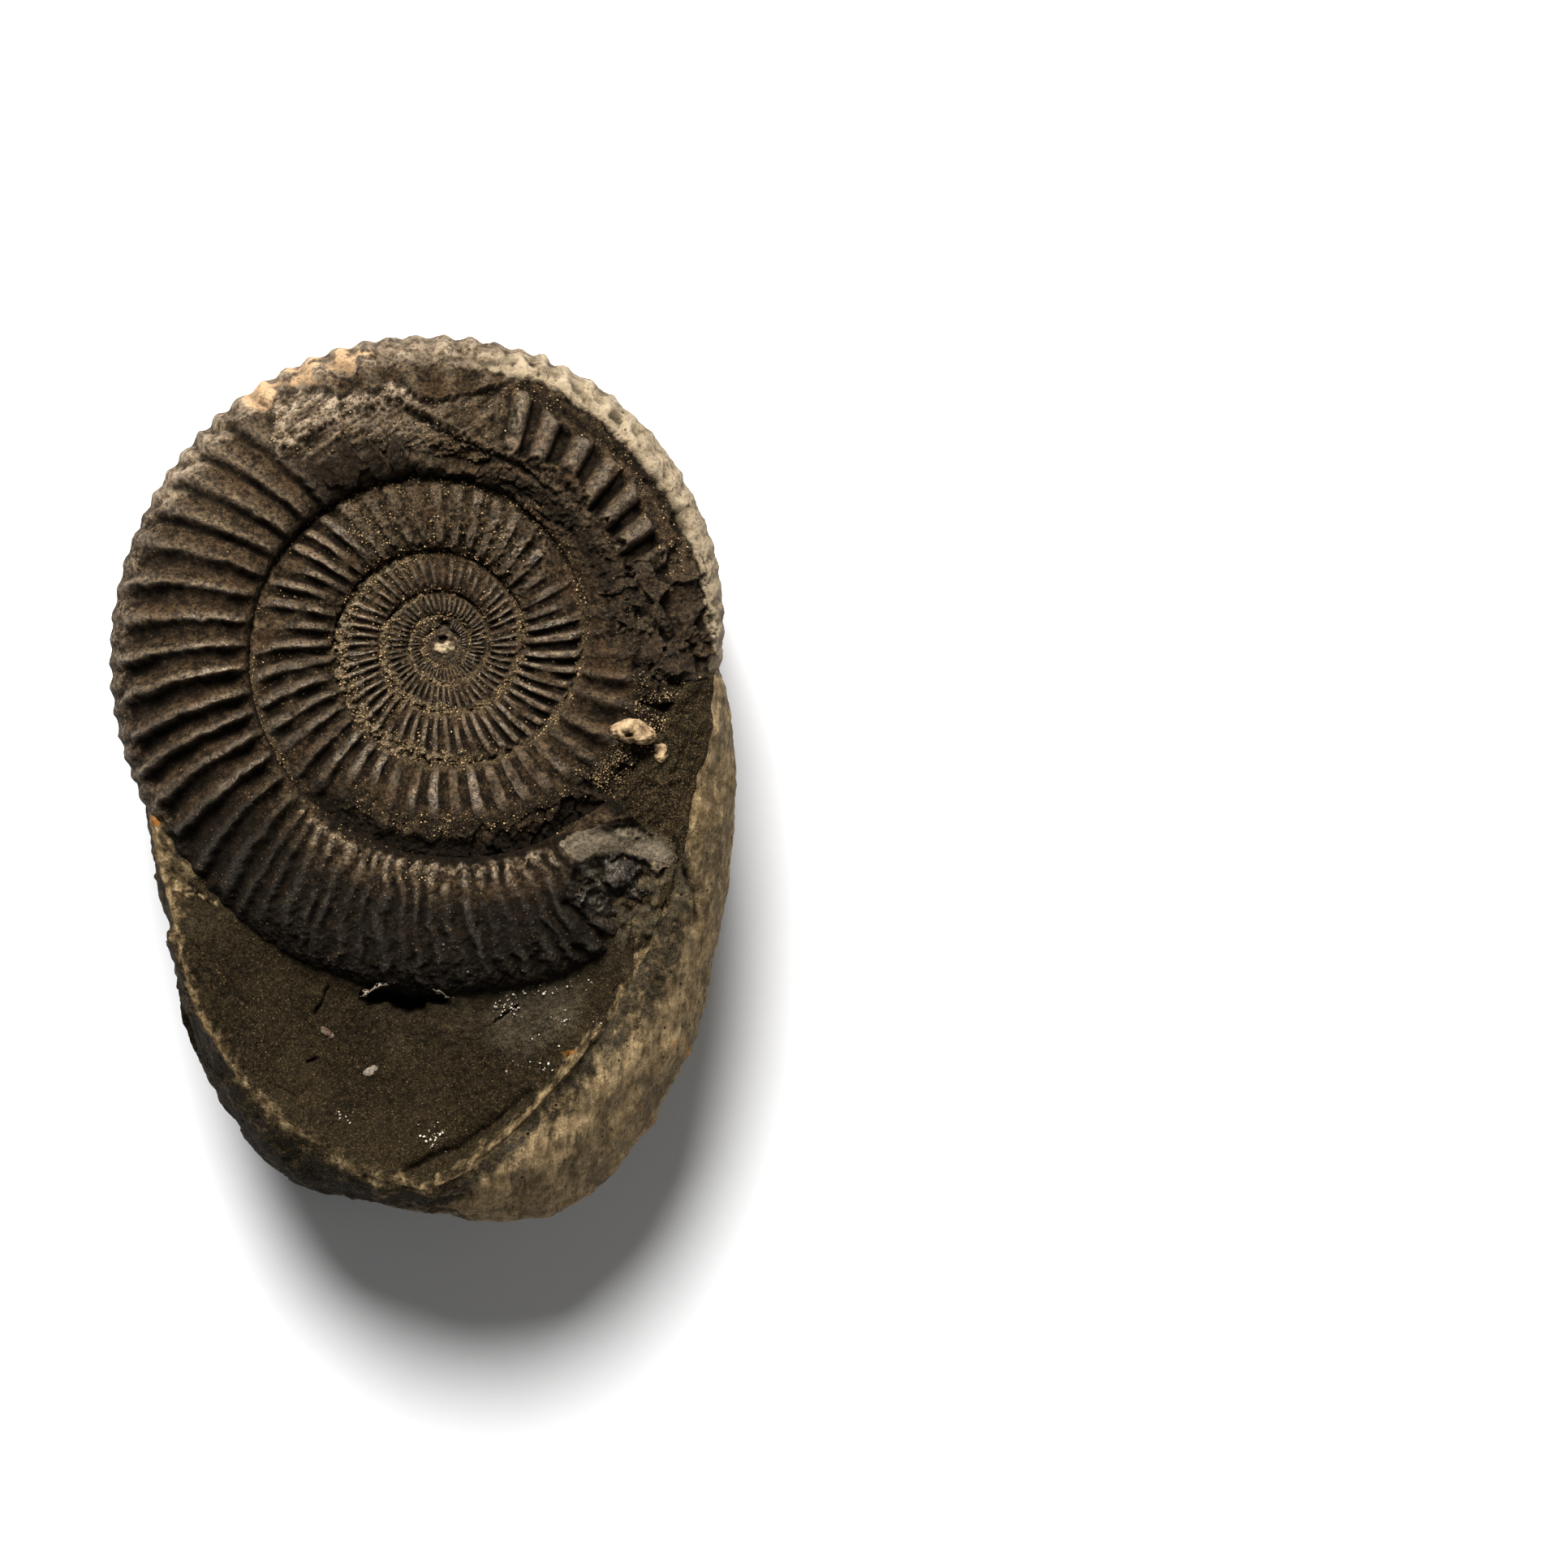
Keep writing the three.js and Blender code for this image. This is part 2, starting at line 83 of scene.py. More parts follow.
def smooth(low: float, high: float, value: Array) -> Array:
    """Rises smoothly from 0 at low to 1 at high. With low above high it falls."""
    share = np.clip((np.asarray(value, float) - low) / (high - low), 0, 1)
    return share * share * (3 - 2 * share)


def within(low: float, high: float, margin: float, value: Array) -> Array:
    """Is 1 between two limits and falls to 0 over a margin outside each."""
    return smooth(low - margin, low, value) * smooth(high + margin, high, value)


def between(inner: Array, outer: Array, edge: float, value: Array) -> Array:
    """Is 1 between two uneven lines and falls to 0 over an edge's width.

    Args:
        inner: where the band starts, for each point.
        outer: where it ends, for each point.
        edge: width of the step at each side.
        value: the points' own place across the band.

    Returns:
        A share from 0 to 1 for each point.
    """
    return np.clip((value - inner) / edge + 0.5, 0, 1) * np.clip((outer - value) / edge + 0.5, 0, 1)


def line(angles: Array, points: list[Point]) -> Array:
    """Reads a line of (angle, radius) points at each angle."""
    at, radii = zip(*points)
    return np.interp(angles, at, radii)


def highest(*values: Array) -> Array:
    """Takes the greatest of several values at each point."""
    return np.maximum.reduce(values)


def beside(*values: Array) -> Array:
    """Puts values side by side, one column each."""
    return np.column_stack(values)


def down(values: Array, shape: tuple[int, int]) -> Array:
    """Gives every row of a grid its column's value, all in one line."""
    return np.broadcast_to(values[:, None], shape).ravel()


def distance_to(xy: Array, points: list[Point]) -> Array:
    """Measures how far each place is from a line of points.

    Args:
        xy: places, one a row.
        points: corners of the line.

    Returns:
        The least distance of each place.
    """
    least = np.full(len(xy), 1e9)
    for start, end in zip(points[:-1], points[1:]):
        a, way = np.array(start), np.subtract(end, start)
        along = np.clip(((xy - a) @ way) / (way @ way), 0, 1)
        least = np.minimum(least, np.hypot(*(xy - a - along[:, None] * way).T))
    return least


def inside(xy: Array, corners: list[Point], edge: float) -> Array:
    """Is 1 inside a closed outline and 0 outside it.

    Args:
        xy: places, one a row.
        corners: the outline's corners in order.
        edge: width of the step on the outline.

    Returns:
        A share from 0 to 1 for each place.
    """
    ring = [*corners, corners[0]]
    odd = np.zeros(len(xy), bool)
    for (x1, y1), (x2, y2) in zip(ring[:-1], ring[1:]):
        if y1 != y2:
            passed = xy[:, 0] < x1 + (x2 - x1) * (xy[:, 1] - y1) / (y2 - y1)
            odd ^= ((y1 > xy[:, 1]) != (y2 > xy[:, 1])) & passed
    away = distance_to(xy, ring)
    return np.clip(np.where(odd, away, -away) / edge + 0.5, 0, 1)


def blur(grid: Array, reach: int) -> Array:
    """Averages a grid of values over a square.

    Args:
        grid: values, columns by rows.
        reach: how many cells the square reaches each way.

    Returns:
        The smoothed grid.
    """
    for axis in (0, 1):
        padded = np.pad(grid, [(reach + 1, reach) if k == axis else (0, 0) for k in (0, 1)], mode="edge")
        total = np.cumsum(padded, axis=axis)
        size = 2 * reach + 1
        after = np.take(total, range(size, total.shape[axis]), axis=axis)
        before = np.take(total, range(total.shape[axis] - size), axis=axis)
        grid = (after - before) / size
    return grid


@dataclass(frozen=True)
class Stroke:
    """A line on the surface that is raised, cut or coloured."""

    points: list[Point]
    width: float
    rise: float = 0.0

    def weight(self, xy: Array) -> Array:
        """Is 1 on the line and fades across its width."""
        return np.exp(-((distance_to(xy, self.points) / self.width) ** 2))


@dataclass(frozen=True)
class Hollow:
    """A pit or a lump with an uneven oval outline."""

    at: Point
    size: Point
    turn: float
    rise: float
    steep: float = 3.0

    def weight(self, xy: Array) -> Array:
        """Is 1 inside the outline and 0 outside it."""
        c, s = math.cos(math.radians(self.turn)), math.sin(math.radians(self.turn))
        x, y = (xy - np.array(self.at)).T
        reach = np.hypot((x * c + y * s) / self.size[0], (y * c - x * s) / self.size[1])
        return np.clip((1.15 - reach) * self.steep, 0, 1)


class Noise:
    """Seeded gradient noise over rows of points."""

    reach = 1.7
    rough_reach = 1.4
    layer_shift = 17.3
    crag_shift = 9.1

    def __init__(self, seed: int) -> None:
        """Draws the lattice.

        Args:
            seed: fixes every value.
        """
        draw = np.random.default_rng(seed)
        self.order = np.tile(draw.permutation(256), 3)
        slopes = draw.normal(size=(256, 3))
        self.slopes = slopes / np.linalg.norm(slopes, axis=1, keepdims=True)
        self.shade = draw.random(256)

    def key(self, cell: Array) -> Array:
        """Draws a number from 0 to 255 for each cell of the lattice."""
        x, y, z = (cell & 255).T
        return self.order[self.order[self.order[x] + y] + z]

    def at(self, points: Array, size: float) -> Array:
        """Gives smooth noise from about -1 to 1.

        Args:
            points: places, one a row.
            size: width of its lumps.

        Returns:
            One value a point.
        """
        scaled = points / size
        cell = np.floor(scaled).astype(np.int64)
        part = scaled - cell
        fade = part**3 * (part * (part * 6 - 15) + 10)
        total = np.zeros(len(points))
        for corner in np.ndindex(2, 2, 2):
            slope = self.slopes[self.key(cell + corner)]
            weight = np.prod(np.where(corner, fade, 1 - fade), axis=1)
            total += weight * np.einsum("ij,ij->i", slope, part - corner)
        return total * self.reach

    def rough(self, points: Array, size: float, octaves: int = 4, fall: float = 0.55) -> Array:
        """Adds finer and finer noise.

        Args:
            points: places, one a row.
            size: width of the largest lumps.
            octaves: how many layers.
            fall: strength of each layer against the one before.

        Returns:
            One value a point, from about -1 to 1.
        """
        total, strength, most = np.zeros(len(points)), 1.0, 0.0
        for layer in range(octaves):
            total += strength * self.at(points + self.layer_shift * layer, size * 0.5**layer)
            most += strength
            strength *= fall
        return total / most * self.rough_reach

    def crags(self, points: Array, size: float, octaves: int = 3) -> Array:
        """Gives sharp crests between rounded hollows, from 0 to 1."""
        total, most = np.zeros(len(points)), 0.0
        for layer in range(octaves):
            share = 0.5**layer
            total += share * (1 - np.abs(self.at(points + self.crag_shift * layer, size * share)))
            most += share
        return total / most

    def plates(self, points: Array, size: float) -> tuple[Array, Array, Array]:
        """Breaks space into cells, as stone breaks into plates.

        Args:
            points: places, one a row.
            size: width of a cell.

        Returns:
            A fixed value from 0 to 1 for each point's cell, how near the point is to the cell's edge,
            0 on it, and the height of the cell's own tilted face, about -0.5 to 0.5.
        """
        scaled = points / size
        cell = np.floor(scaled).astype(np.int64)
        first, second = np.full(len(points), 9.0), np.full(len(points), 9.0)
        value, tilt = np.zeros(len(points)), np.zeros(len(points))
        for step in np.ndindex(3, 3, 3):
            other = cell + np.array(step) - 1
            key = self.key(other)
            heart = other + 0.5 + 0.45 * self.slopes[key]
            offset = scaled - heart
            reach = np.linalg.norm(offset, axis=1)
            nearer = reach < first
            second = np.where(nearer, first, np.minimum(second, reach))
            value = np.where(nearer, self.shade[key], value)
            tilt = np.where(nearer, np.einsum("ij,ij->i", offset, self.slopes[(key * 7 + 3) & 255]), tilt)
            first = np.where(nearer, reach, first)
        return value, second - first, tilt


NOISE = Noise(41)
OTHER_NOISE = Noise(87)


@dataclass
class Sheet:
    """A grid of points, columns by rows, and what is painted on it."""

    points: Array
    masks: dict[str, Array] = field(default_factory=dict)

    def normals(self) -> Array:
        """Finds the direction straight out of the sheet at each point."""
        across, along = np.gradient(self.points, axis=0), np.gradient(self.points, axis=1)
        normal = np.cross(along, across)
        return normal / np.maximum(np.linalg.norm(normal, axis=2, keepdims=True), 1e-9)

    def faces(self, closed: bool = False, flip: bool = False) -> Array:
        """Lists the grid's four-sided faces.

        Args:
            closed: joins the last column to the first.
            flip: turns the faces over.

        Returns:
            Four vertex numbers a row.
        """
        columns, rows = self.points.shape[:2]
        first = np.arange(columns if closed else columns - 1)
        start = (first[:, None] * rows + np.arange(rows - 1)).ravel()
        after = (((first + 1) % columns)[:, None] * rows + np.arange(rows - 1)).ravel()
        quads = np.column_stack([start, after, after + 1, start + 1])
        return quads[:, ::-1] if flip else quads


def make_mesh(name: str, points: Array, faces: list[Array], masks: dict[str, Array],
              normals: Array | None = None, smooth_faces: bool = True) -> bpy.types.Object:
    """Makes a mesh object.

    Args:
        name: its name.
        points: vertices in millimetres, one a row.
        faces: arrays of vertex numbers, each with faces of one size.
        masks: values from 0 to 1, one a vertex, that its finish reads by name.
        normals: direction out of the surface at each vertex, where a neighbouring piece goes on smoothly.
        smooth_faces: shades the faces as one smooth surface.

    Returns:
        The object, linked to the scene.
    """
    mesh = bpy.data.meshes.new(name)
    mesh.vertices.add(len(points))
    mesh.vertices.foreach_set("co", (points * METRES).astype(np.float32).ravel())
    corners = np.concatenate([array.ravel() for array in faces])
    sizes = np.concatenate([np.full(len(array), array.shape[1]) for array in faces])
    mesh.loops.add(len(corners))
    mesh.loops.foreach_set("vertex_index", corners.astype(np.int32))
    mesh.polygons.add(len(sizes))
    mesh.polygons.foreach_set("loop_start", (np.cumsum(sizes) - sizes).astype(np.int32))
    mesh.polygons.foreach_set("use_smooth", np.full(len(sizes), smooth_faces))
    mesh.update(calc_edges=True)
    mesh.validate()
    for key, values in masks.items():
        layer = mesh.attributes.new(key, "FLOAT", "POINT")
        layer.data.foreach_set("value", np.clip(values, 0, 1).astype(np.float32).ravel())
    if normals is not None:
        mesh.normals_split_custom_set_from_vertices(normals)
    made = bpy.data.objects.new(name, mesh)
    bpy.context.scene.collection.objects.link(made)
    return made


def place(made: bpy.types.Object, material: bpy.types.Material, slot: Slot, node: Node) -> bpy.types.Object:
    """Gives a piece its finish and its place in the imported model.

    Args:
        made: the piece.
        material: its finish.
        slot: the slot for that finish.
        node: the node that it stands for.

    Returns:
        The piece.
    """
    made.data.materials.append(material)
    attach(made, "root")
    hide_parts(node.value)
    faces = sum(len(polygon.vertices) - 2 for polygon in made.data.polygons)
    log.info("%s: %d triangles, slot %s", made.name, faces, slot.value)
    return made


class Nodes:
    """A material's node tree, with its coordinates in millimetres."""

    def __init__(self, name: str) -> None:
        """Starts a material.

        Args:
            name: the material's name.
        """
        self.material = bpy.data.materials.new(name)
        self.material.use_nodes = True
        self.tree = self.material.node_tree
        self.shader = self.tree.nodes["Principled BSDF"]
        place_node = self.tree.nodes.new("ShaderNodeTexCoord")
        scale = self.tree.nodes.new("ShaderNodeVectorMath")
        scale.operation = "SCALE"
        scale.inputs["Scale"].default_value = 1 / METRES
        self.tree.links.new(place_node.outputs["Object"], scale.inputs[0])
        self.place = scale.outputs[0]

    def put(self, socket: Socket, value: object) -> None:
        """Links a socket, or sets its own value where it is a constant."""
        if isinstance(value, Socket):
            self.tree.links.new(value, socket)
        elif isinstance(value, tuple) and len(value) == 3:
            socket.default_value = (*value, 1)
        else:
            socket.default_value = value

    def mask(self, name: str) -> Socket:
        """Reads a value painted on the mesh."""
        node = self.tree.nodes.new("ShaderNodeAttribute")
        node.attribute_name = name
        return node.outputs["Fac"]

    def math(self, kind: str, a: object, b: object, clamp: bool = False) -> Socket:
        """Works out a value from two others."""
        node = self.tree.nodes.new("ShaderNodeMath")
        node.operation = kind
        node.use_clamp = clamp
        self.put(node.inputs[0], a)
        self.put(node.inputs[1], b)
        return node.outputs[0]

    times = partialmethod(math, "MULTIPLY")
    plus = partialmethod(math, "ADD")
    minus = partialmethod(math, "SUBTRACT")
    most = partialmethod(math, "MAXIMUM")

    def swing(self, noise: object, reach: float) -> Socket:
        """Moves a noise to 0 on average and gives it a reach."""
        return self.times(self.minus(noise, 0.5), reach)

    def noise(self, size: float, detail: float = 3.0, roughness: float = 0.6,
              stretch: Triple | None = None) -> Socket:
        """Adds noise.

        Args:
            size: width of its lumps.
            detail: how many finer layers it has.
            roughness: strength of the finer layers.
            stretch: how much longer the lumps are along each axis.

        Returns:
            Its value, about 0.5 on average.
        """
        node = self.tree.nodes.new("ShaderNodeTexNoise")
        node.inputs["Scale"].default_value = 1 / size
        node.inputs["Detail"].default_value = detail
        node.inputs["Roughness"].default_value = roughness
        source = self.place
        if stretch:
            scale = self.tree.nodes.new("ShaderNodeVectorMath")
            scale.operation = "MULTIPLY"
            scale.inputs[1].default_value = tuple(1 / value for value in stretch)
            self.tree.links.new(source, scale.inputs[0])
            source = scale.outputs[0]
        self.tree.links.new(source, node.inputs["Vector"])
        return node.outputs["Fac"]

    def step(self, value: object, low: float, high: float) -> Socket:
        """Rises smoothly from 0 to 1 as a value goes from low to high."""
        node = self.tree.nodes.new("ShaderNodeMapRange")
        node.interpolation_type = "SMOOTHSTEP"
        self.put(node.inputs["Value"], value)
        node.inputs["From Min"].default_value = low
        node.inputs["From Max"].default_value = high
        return node.outputs["Result"]

    def scale_to(self, value: object, low: float, high: float) -> Socket:
        """Spreads a value from 0 to 1 over another range."""
        node = self.tree.nodes.new("ShaderNodeMapRange")
        self.put(node.inputs["Value"], value)
        node.inputs["To Min"].default_value = low
        node.inputs["To Max"].default_value = high
        return node.outputs["Result"]

    def mix(self, share: object, a: object, b: object) -> Socket:
        """Blends two colours."""
        node = self.tree.nodes.new("ShaderNodeMix")
        node.data_type = "RGBA"
        self.put(node.inputs["Factor"], share)
        self.put(node.inputs[6], a)
        self.put(node.inputs[7], b)
        return node.outputs[2]

    def tint(self, colour: object, strength: object) -> Socket:
        """Makes a colour lighter or darker."""
        node = self.tree.nodes.new("ShaderNodeVectorMath")
        node.operation = "SCALE"
        self.put(node.inputs[0], colour)
        self.put(node.inputs["Scale"], strength)
        return node.outputs[0]

    def blend(self, noise: object, low: float, high: float, a: object, b: object) -> Socket:
        """Blends two colours where a noise goes from low to high."""
        return self.mix(self.step(noise, low, high), a, b)

    def layers(self, colour: object, coats: list[tuple[object, object]]) -> Socket:
        """Lays coats over a colour.

        Args:
            colour: the colour below them.
            coats: share and colour of each, the lowest first.

        Returns:
            The colour that shows.
        """
        for share, coat in coats:
            colour = self.mix(share, colour, coat)
        return colour

    def patchy(self, name: str, noise: object, spread: float) -> Socket:
        """Reads a painted value and breaks its edge up.

        Args:
            name: the painted value.
            noise: the noise that breaks it.
            spread: how far the noise reaches.

        Returns:
            A share from 0 to 1, which stays 0 where the painted value is 0.
        """
        mark = self.plus(self.mask(name), self.swing(noise, spread))
        return self.times(self.step(mark, 0.2, 0.7), self.step(self.mask(name), 0.01, 0.3))

    def grains(self, size: float, radius: float, share: object) -> tuple[Socket, Socket]:
        """Scatters round grains.

        Args:
            size: distance between them.
            radius: their radius as a share of that.
            share: how many of the places hold one, from 0 to 1.

        Returns:
            1 inside a grain, and a fixed value for each.
        """
        node = self.tree.nodes.new("ShaderNodeTexVoronoi")
        node.inputs["Scale"].default_value = 1 / size
        self.tree.links.new(self.place, node.inputs["Vector"])
        split = self.tree.nodes.new("ShaderNodeSeparateColor")
        self.tree.links.new(node.outputs["Color"], split.inputs[0])
        round_part = self.step(node.outputs["Distance"], radius * 1.25, radius * 0.7)
        chosen = self.math("LESS_THAN", split.outputs[0], share)
        return self.times(round_part, chosen), split.outputs[1]

    def finish(self, colour: object, roughness: object, gloss: object, height: object,
               distance: float) -> None:
        """Links what was built to the shader.

        Args:
            colour: its colour.
            roughness: its roughness.
            gloss: strength of its highlights.
            height: how far the surface rises, a value of about 0 to 1.
            distance: what 1 stands for, in millimetres.
        """
        node = self.tree.nodes.new("ShaderNodeBump")
        node.inputs["Strength"].default_value = 1.0
        node.inputs["Distance"].default_value = distance * METRES
        self.put(node.inputs["Height"], height)
        sockets = {"Base Color": colour, "Roughness": roughness, "Specular IOR Level": gloss,
                   "Normal": node.outputs[0]}
        for name, value in sockets.items():
            self.put(self.shader.inputs[name], value)


@dataclass(frozen=True)
class ShellFinish:
    """Dark brown shell, glossy on its crests, with sand in its hollows, weathered skin at its edge, painted
    shade in its recesses and painted highlights on lit crests.
    """

    black: Triple = (0.005, 0.0036, 0.0022)
    dark: Triple = (0.021, 0.0135, 0.0075)
    brown: Triple = (0.078, 0.050, 0.026)
    red: Triple = (0.10, 0.055, 0.028)
    worn: Triple = (0.24, 0.18, 0.11)
    bare: Triple = (0.60, 0.47, 0.335)
    sand: Triple = (0.30, 0.21, 0.11)
    sand_dark: Triple = (0.05, 0.034, 0.018)
    dust: Triple = (0.19, 0.138, 0.078)
    skin: Triple = (0.35, 0.27, 0.185)
    crust: Triple = (0.40, 0.315, 0.208)
    crust_dark: Triple = (0.18, 0.135, 0.085)
    facet: Triple = (0.225, 0.183, 0.125)
    facet_dark: Triple = (0.125, 0.10, 0.067)
    rust: Triple = (0.54, 0.36, 0.205)

    def material(self) -> bpy.types.Material:
        """Builds the node tree.

        Returns:
            The material. It reads the masks sand, crust, skin, bare, facet, rust and gloss; the wear mask,
            which also holds painted highlights on lit crest lines and rims; and the recess mask and the shade
            mask, which hold painted shade in recesses and on shaded flanks.
        """
        n = Nodes("fossil_shell_finish")
        n.shader.inputs["Specular Tint"].default_value = WARM_WHITE
        broad, blotch, grit = n.noise(5.0), n.noise(1.0, 6.0, 0.72), n.noise(0.3, 3.0)
        mottle = n.noise(0.5, 5.0, 0.8)
        colour = n.layers(n.blend(blotch, 0.40, 0.60, self.dark, self.brown), [
            (n.times(n.step(broad, 0.52, 0.66), 0.4), self.red),
            (n.mask("bare"), n.blend(n.noise(1.7, 6.0, 0.72), 0.34, 0.58, self.brown, self.bare)),
        ])
        colour = n.tint(colour, n.scale_to(n.step(mottle, 0.34, 0.68), 0.62, 1.38))
        crust = n.patchy("crust", n.noise(1.4, 5.0, 0.7), 0.7)
        colour = n.layers(colour, [
            # the wear colour: real wear on crests, and painted highlights on thin lit crest lines and the
            # lowest whorl's lit inner rim
            (n.times(n.mask("worn"), n.step(n.noise(0.5, 4.0), 0.30, 0.66)), self.worn),
            (n.patchy("skin", blotch, 1.3),
             n.blend(n.noise(1.2, 6.0, 0.75), 0.38, 0.60, self.brown, self.skin)),
            (crust, n.blend(n.noise(2.2, 6.0, 0.7), 0.34, 0.50, self.crust_dark, self.crust)),
            (n.step(n.mask("facet"), 0.3, 0.7),
             n.blend(n.noise(0.7, 5.0, 0.7), 0.36, 0.6, self.facet_dark, self.facet)),
            (n.patchy("rust", blotch, 1.2), self.rust),
            (n.times(n.patchy("sand", n.noise(0.8, 6.0, 0.75), 1.6), 0.55),
             n.blend(grit, 0.4, 0.6, self.sand_dark, self.dust)),
        ])
        sand_mark = n.plus(n.times(n.mask("sand"), 0.5), 0.03)
        coarse = n.grains(0.42, 0.34, n.times(sand_mark, 0.6))
        fine = n.grains(0.2, 0.4, sand_mark)
        # small pits dented by the bump and darkened: painted shade in tiny hollows
        pits = n.times(n.step(n.noise(0.34, 2.0), 0.40, 0.31), n.scale_to(crust, 0.8, 0.2))
        # painted shade: recesses and shaded flanks are darkened towards black
        dim = n.most(n.times(n.mask("deep_shade"), 0.9), n.times(n.mask("shade"), 0.84))
        colour = n.mix(n.most(dim, n.times(pits, 0.75)), colour, self.black)
        dusty = n.scale_to(n.mask("deep_shade"), 0.9, 0.3)
        for spots, shade in (fine, coarse):
            colour = n.mix(n.times(spots, dusty), colour, n.mix(shade, self.sand, self.sand_dark))
        glints = n.step(n.noise(0.26, 2.0), 0.60, 0.68)
        gloss = n.most(n.times(n.mask("gloss"), n.step(grit, 0.70, 0.50)), glints)
        gloss = n.times(gloss, n.scale_to(n.mask("deep_shade"), 1.0, 0.1))
        relief = n.times(n.noise(0.6, 6.0, 0.75), n.scale_to(n.mask("gloss"), 1.4, 0.35))
        relief = n.plus(relief, n.times(n.plus(coarse[0], n.times(fine[0], 0.6)), 0.4))
        n.finish(colour, n.plus(n.scale_to(gloss, 0.66, 0.24), n.swing(grit, 0.2)),
                 n.scale_to(gloss, 0.16, 0.95), n.minus(relief, n.times(pits, 0.4)), 0.62)
        return n.material


@dataclass(frozen=True)
class RockFinish:
    """Dark olive mudstone, tan where it is weathered, with fine gold specks and painted shade in its cracks,
    pits and hollows.
    """

    black: Triple = (0.009, 0.007, 0.004)
    dark: Triple = (0.018, 0.0135, 0.007)
    olive: Triple = (0.036, 0.026, 0.0135)
    grey: Triple = (0.105, 0.088, 0.060)
    tan: Triple = (0.40, 0.295, 0.165)
    brown: Triple = (0.15, 0.104, 0.052)
    pale: Triple = (0.38, 0.29, 0.17)
    sand: Triple = (0.24, 0.165, 0.08)
    sand_dark: Triple = (0.05, 0.036, 0.02)
    rust: Triple = (0.36, 0.16, 0.04)

    def material(self) -> bpy.types.Material:
        """Builds the node tree.

        Returns:
            The material. It reads the masks tan, brown, grey, pale, rust, streak and sand, and the recess
            mask of painted shade.
        """
        n = Nodes("mudstone_finish")
        n.shader.inputs["Specular Tint"].default_value = WARM_WHITE
        broad, blotch, grit = n.noise(7.0), n.noise(1.6, 4.0), n.noise(0.3, 3.0)
        mottle = n.noise(0.7, 6.0, 0.8)
        streaks = n.noise(0.9, 6.0, 0.7, (1.0, 4.5, 2.0))
        fine_lines = n.noise(0.55, 4.0, 0.7, (1.0, 7.0, 4.0))
        stains = n.noise(3.0, 5.0, 0.65, (1.0, 3.0, 1.5))
        on_wall = n.mask("streak")
        tan_colour = n.tint(n.blend(streaks, 0.30, 0.62, self.brown, self.tan),
                            n.scale_to(n.times(n.step(fine_lines, 0.53, 0.64), on_wall), 1.1, 0.55))
        tan_colour = n.layers(tan_colour, [
            (n.times(n.times(n.step(stains, 0.50, 0.60), on_wall), 0.6), self.grey),
            (n.times(n.mask("brown"), n.step(blotch, 0.66, 0.36)), self.brown),
        ])
        tan = n.patchy("tan", n.noise(1.3, 6.0, 0.7), 1.0)
        grey = n.plus(n.mask("grey"), n.swing(broad, 0.6))
        colour = n.layers(n.blend(grit, 0.36, 0.62, self.dark, self.olive), [
            (n.step(grey, 0.25, 0.8), n.mix(grit, self.olive, self.grey)),
            (tan, tan_colour),
            (n.patchy("pale", grit, 1.2), self.pale),
            (n.patchy("rust", blotch, 1.2), self.rust),
        ])
        calm = n.scale_to(tan, 0.5, 0.25)
        swing = n.times(n.scale_to(n.step(mottle, 0.34, 0.68), -1.0, 1.0), calm)
        colour = n.tint(colour, n.plus(swing, n.scale_to(n.step(broad, 0.35, 0.65), 0.8, 1.2)))
        # painted shade: cracks, the hole under the shell and dark pockets are darkened towards black
        colour = n.mix(n.times(n.mask("deep_shade"), 0.9), colour, self.black)
        sand_mark = n.plus(n.times(n.mask("sand"), 0.7), 0.12)
        coarse, fine = n.grains(0.46, 0.3, sand_mark), n.grains(0.2, 0.4, n.plus(sand_mark, 0.14))
        for spots, shade in (fine, coarse):
            colour = n.mix(n.times(spots, 0.5), colour, n.mix(shade, self.sand, self.sand_dark))
        # small pits on the wall and dents on the face are darkened: painted shade in tiny hollows
        pits, _ = n.grains(1.1, 0.16, 0.3)
        pits = n.times(n.times(pits, on_wall), n.step(blotch, 0.45, 0.55))
        dents = n.times(n.step(n.noise(0.4, 2.0), 0.41, 0.31), n.scale_to(tan, 0.8, 0.3))
        colour = n.mix(n.most(pits, dents), colour, self.black)
        relief = n.plus(n.times(n.noise(0.6, 6.0, 0.78), 1.2), n.times(coarse[0], 0.4))
        glints = n.step(n.noise(0.24, 2.0), 0.61, 0.68)
        n.finish(colour, n.scale_to(blotch, 0.55, 0.9), n.scale_to(glints, 0.08, 0.7),
                 n.minus(relief, n.times(pits, 0.8)), 0.5)
        return n.material


@dataclass(frozen=True)
class GrainFinish:
    """Loose grains: tan sand, pale clay or small chips."""

    name: str
    light: Triple
    dark: Triple
    roughness: float
    size: float = 0.3

    def material(self) -> bpy.types.Material:
        """Builds the node tree.

        Returns:
            The material. It reads the mask shade, one value a grain.
        """
        n = Nodes(self.name)
        grit = n.noise(self.size, 3.0)
        share = n.plus(n.mask("shade"), n.swing(grit, 0.7), clamp=True)
        roughness = n.scale_to(grit, self.roughness - 0.12, self.roughness + 0.12)
        n.finish(n.mix(share, self.dark, self.light), roughness, 0.15, grit, self.size * 0.4)
        return n.material


@dataclass(frozen=True)
class FloorFinish:
    """Pale studio paper."""

    colour: float = 0.62
    gloss: float = 0.5

    def material(self) -> bpy.types.Material:
        """Builds the node tree.

        Returns:
            The material.
        """
        n = Nodes("paper_finish")
        fibre = n.noise(2.0, 4.0)
        colour = n.mix(fibre, (self.colour - 0.01,) * 3, (self.colour + 0.01,) * 3)
        n.finish(colour, n.scale_to(fibre, 0.85, 0.95), self.gloss, fibre, 0.02)
        return n.material


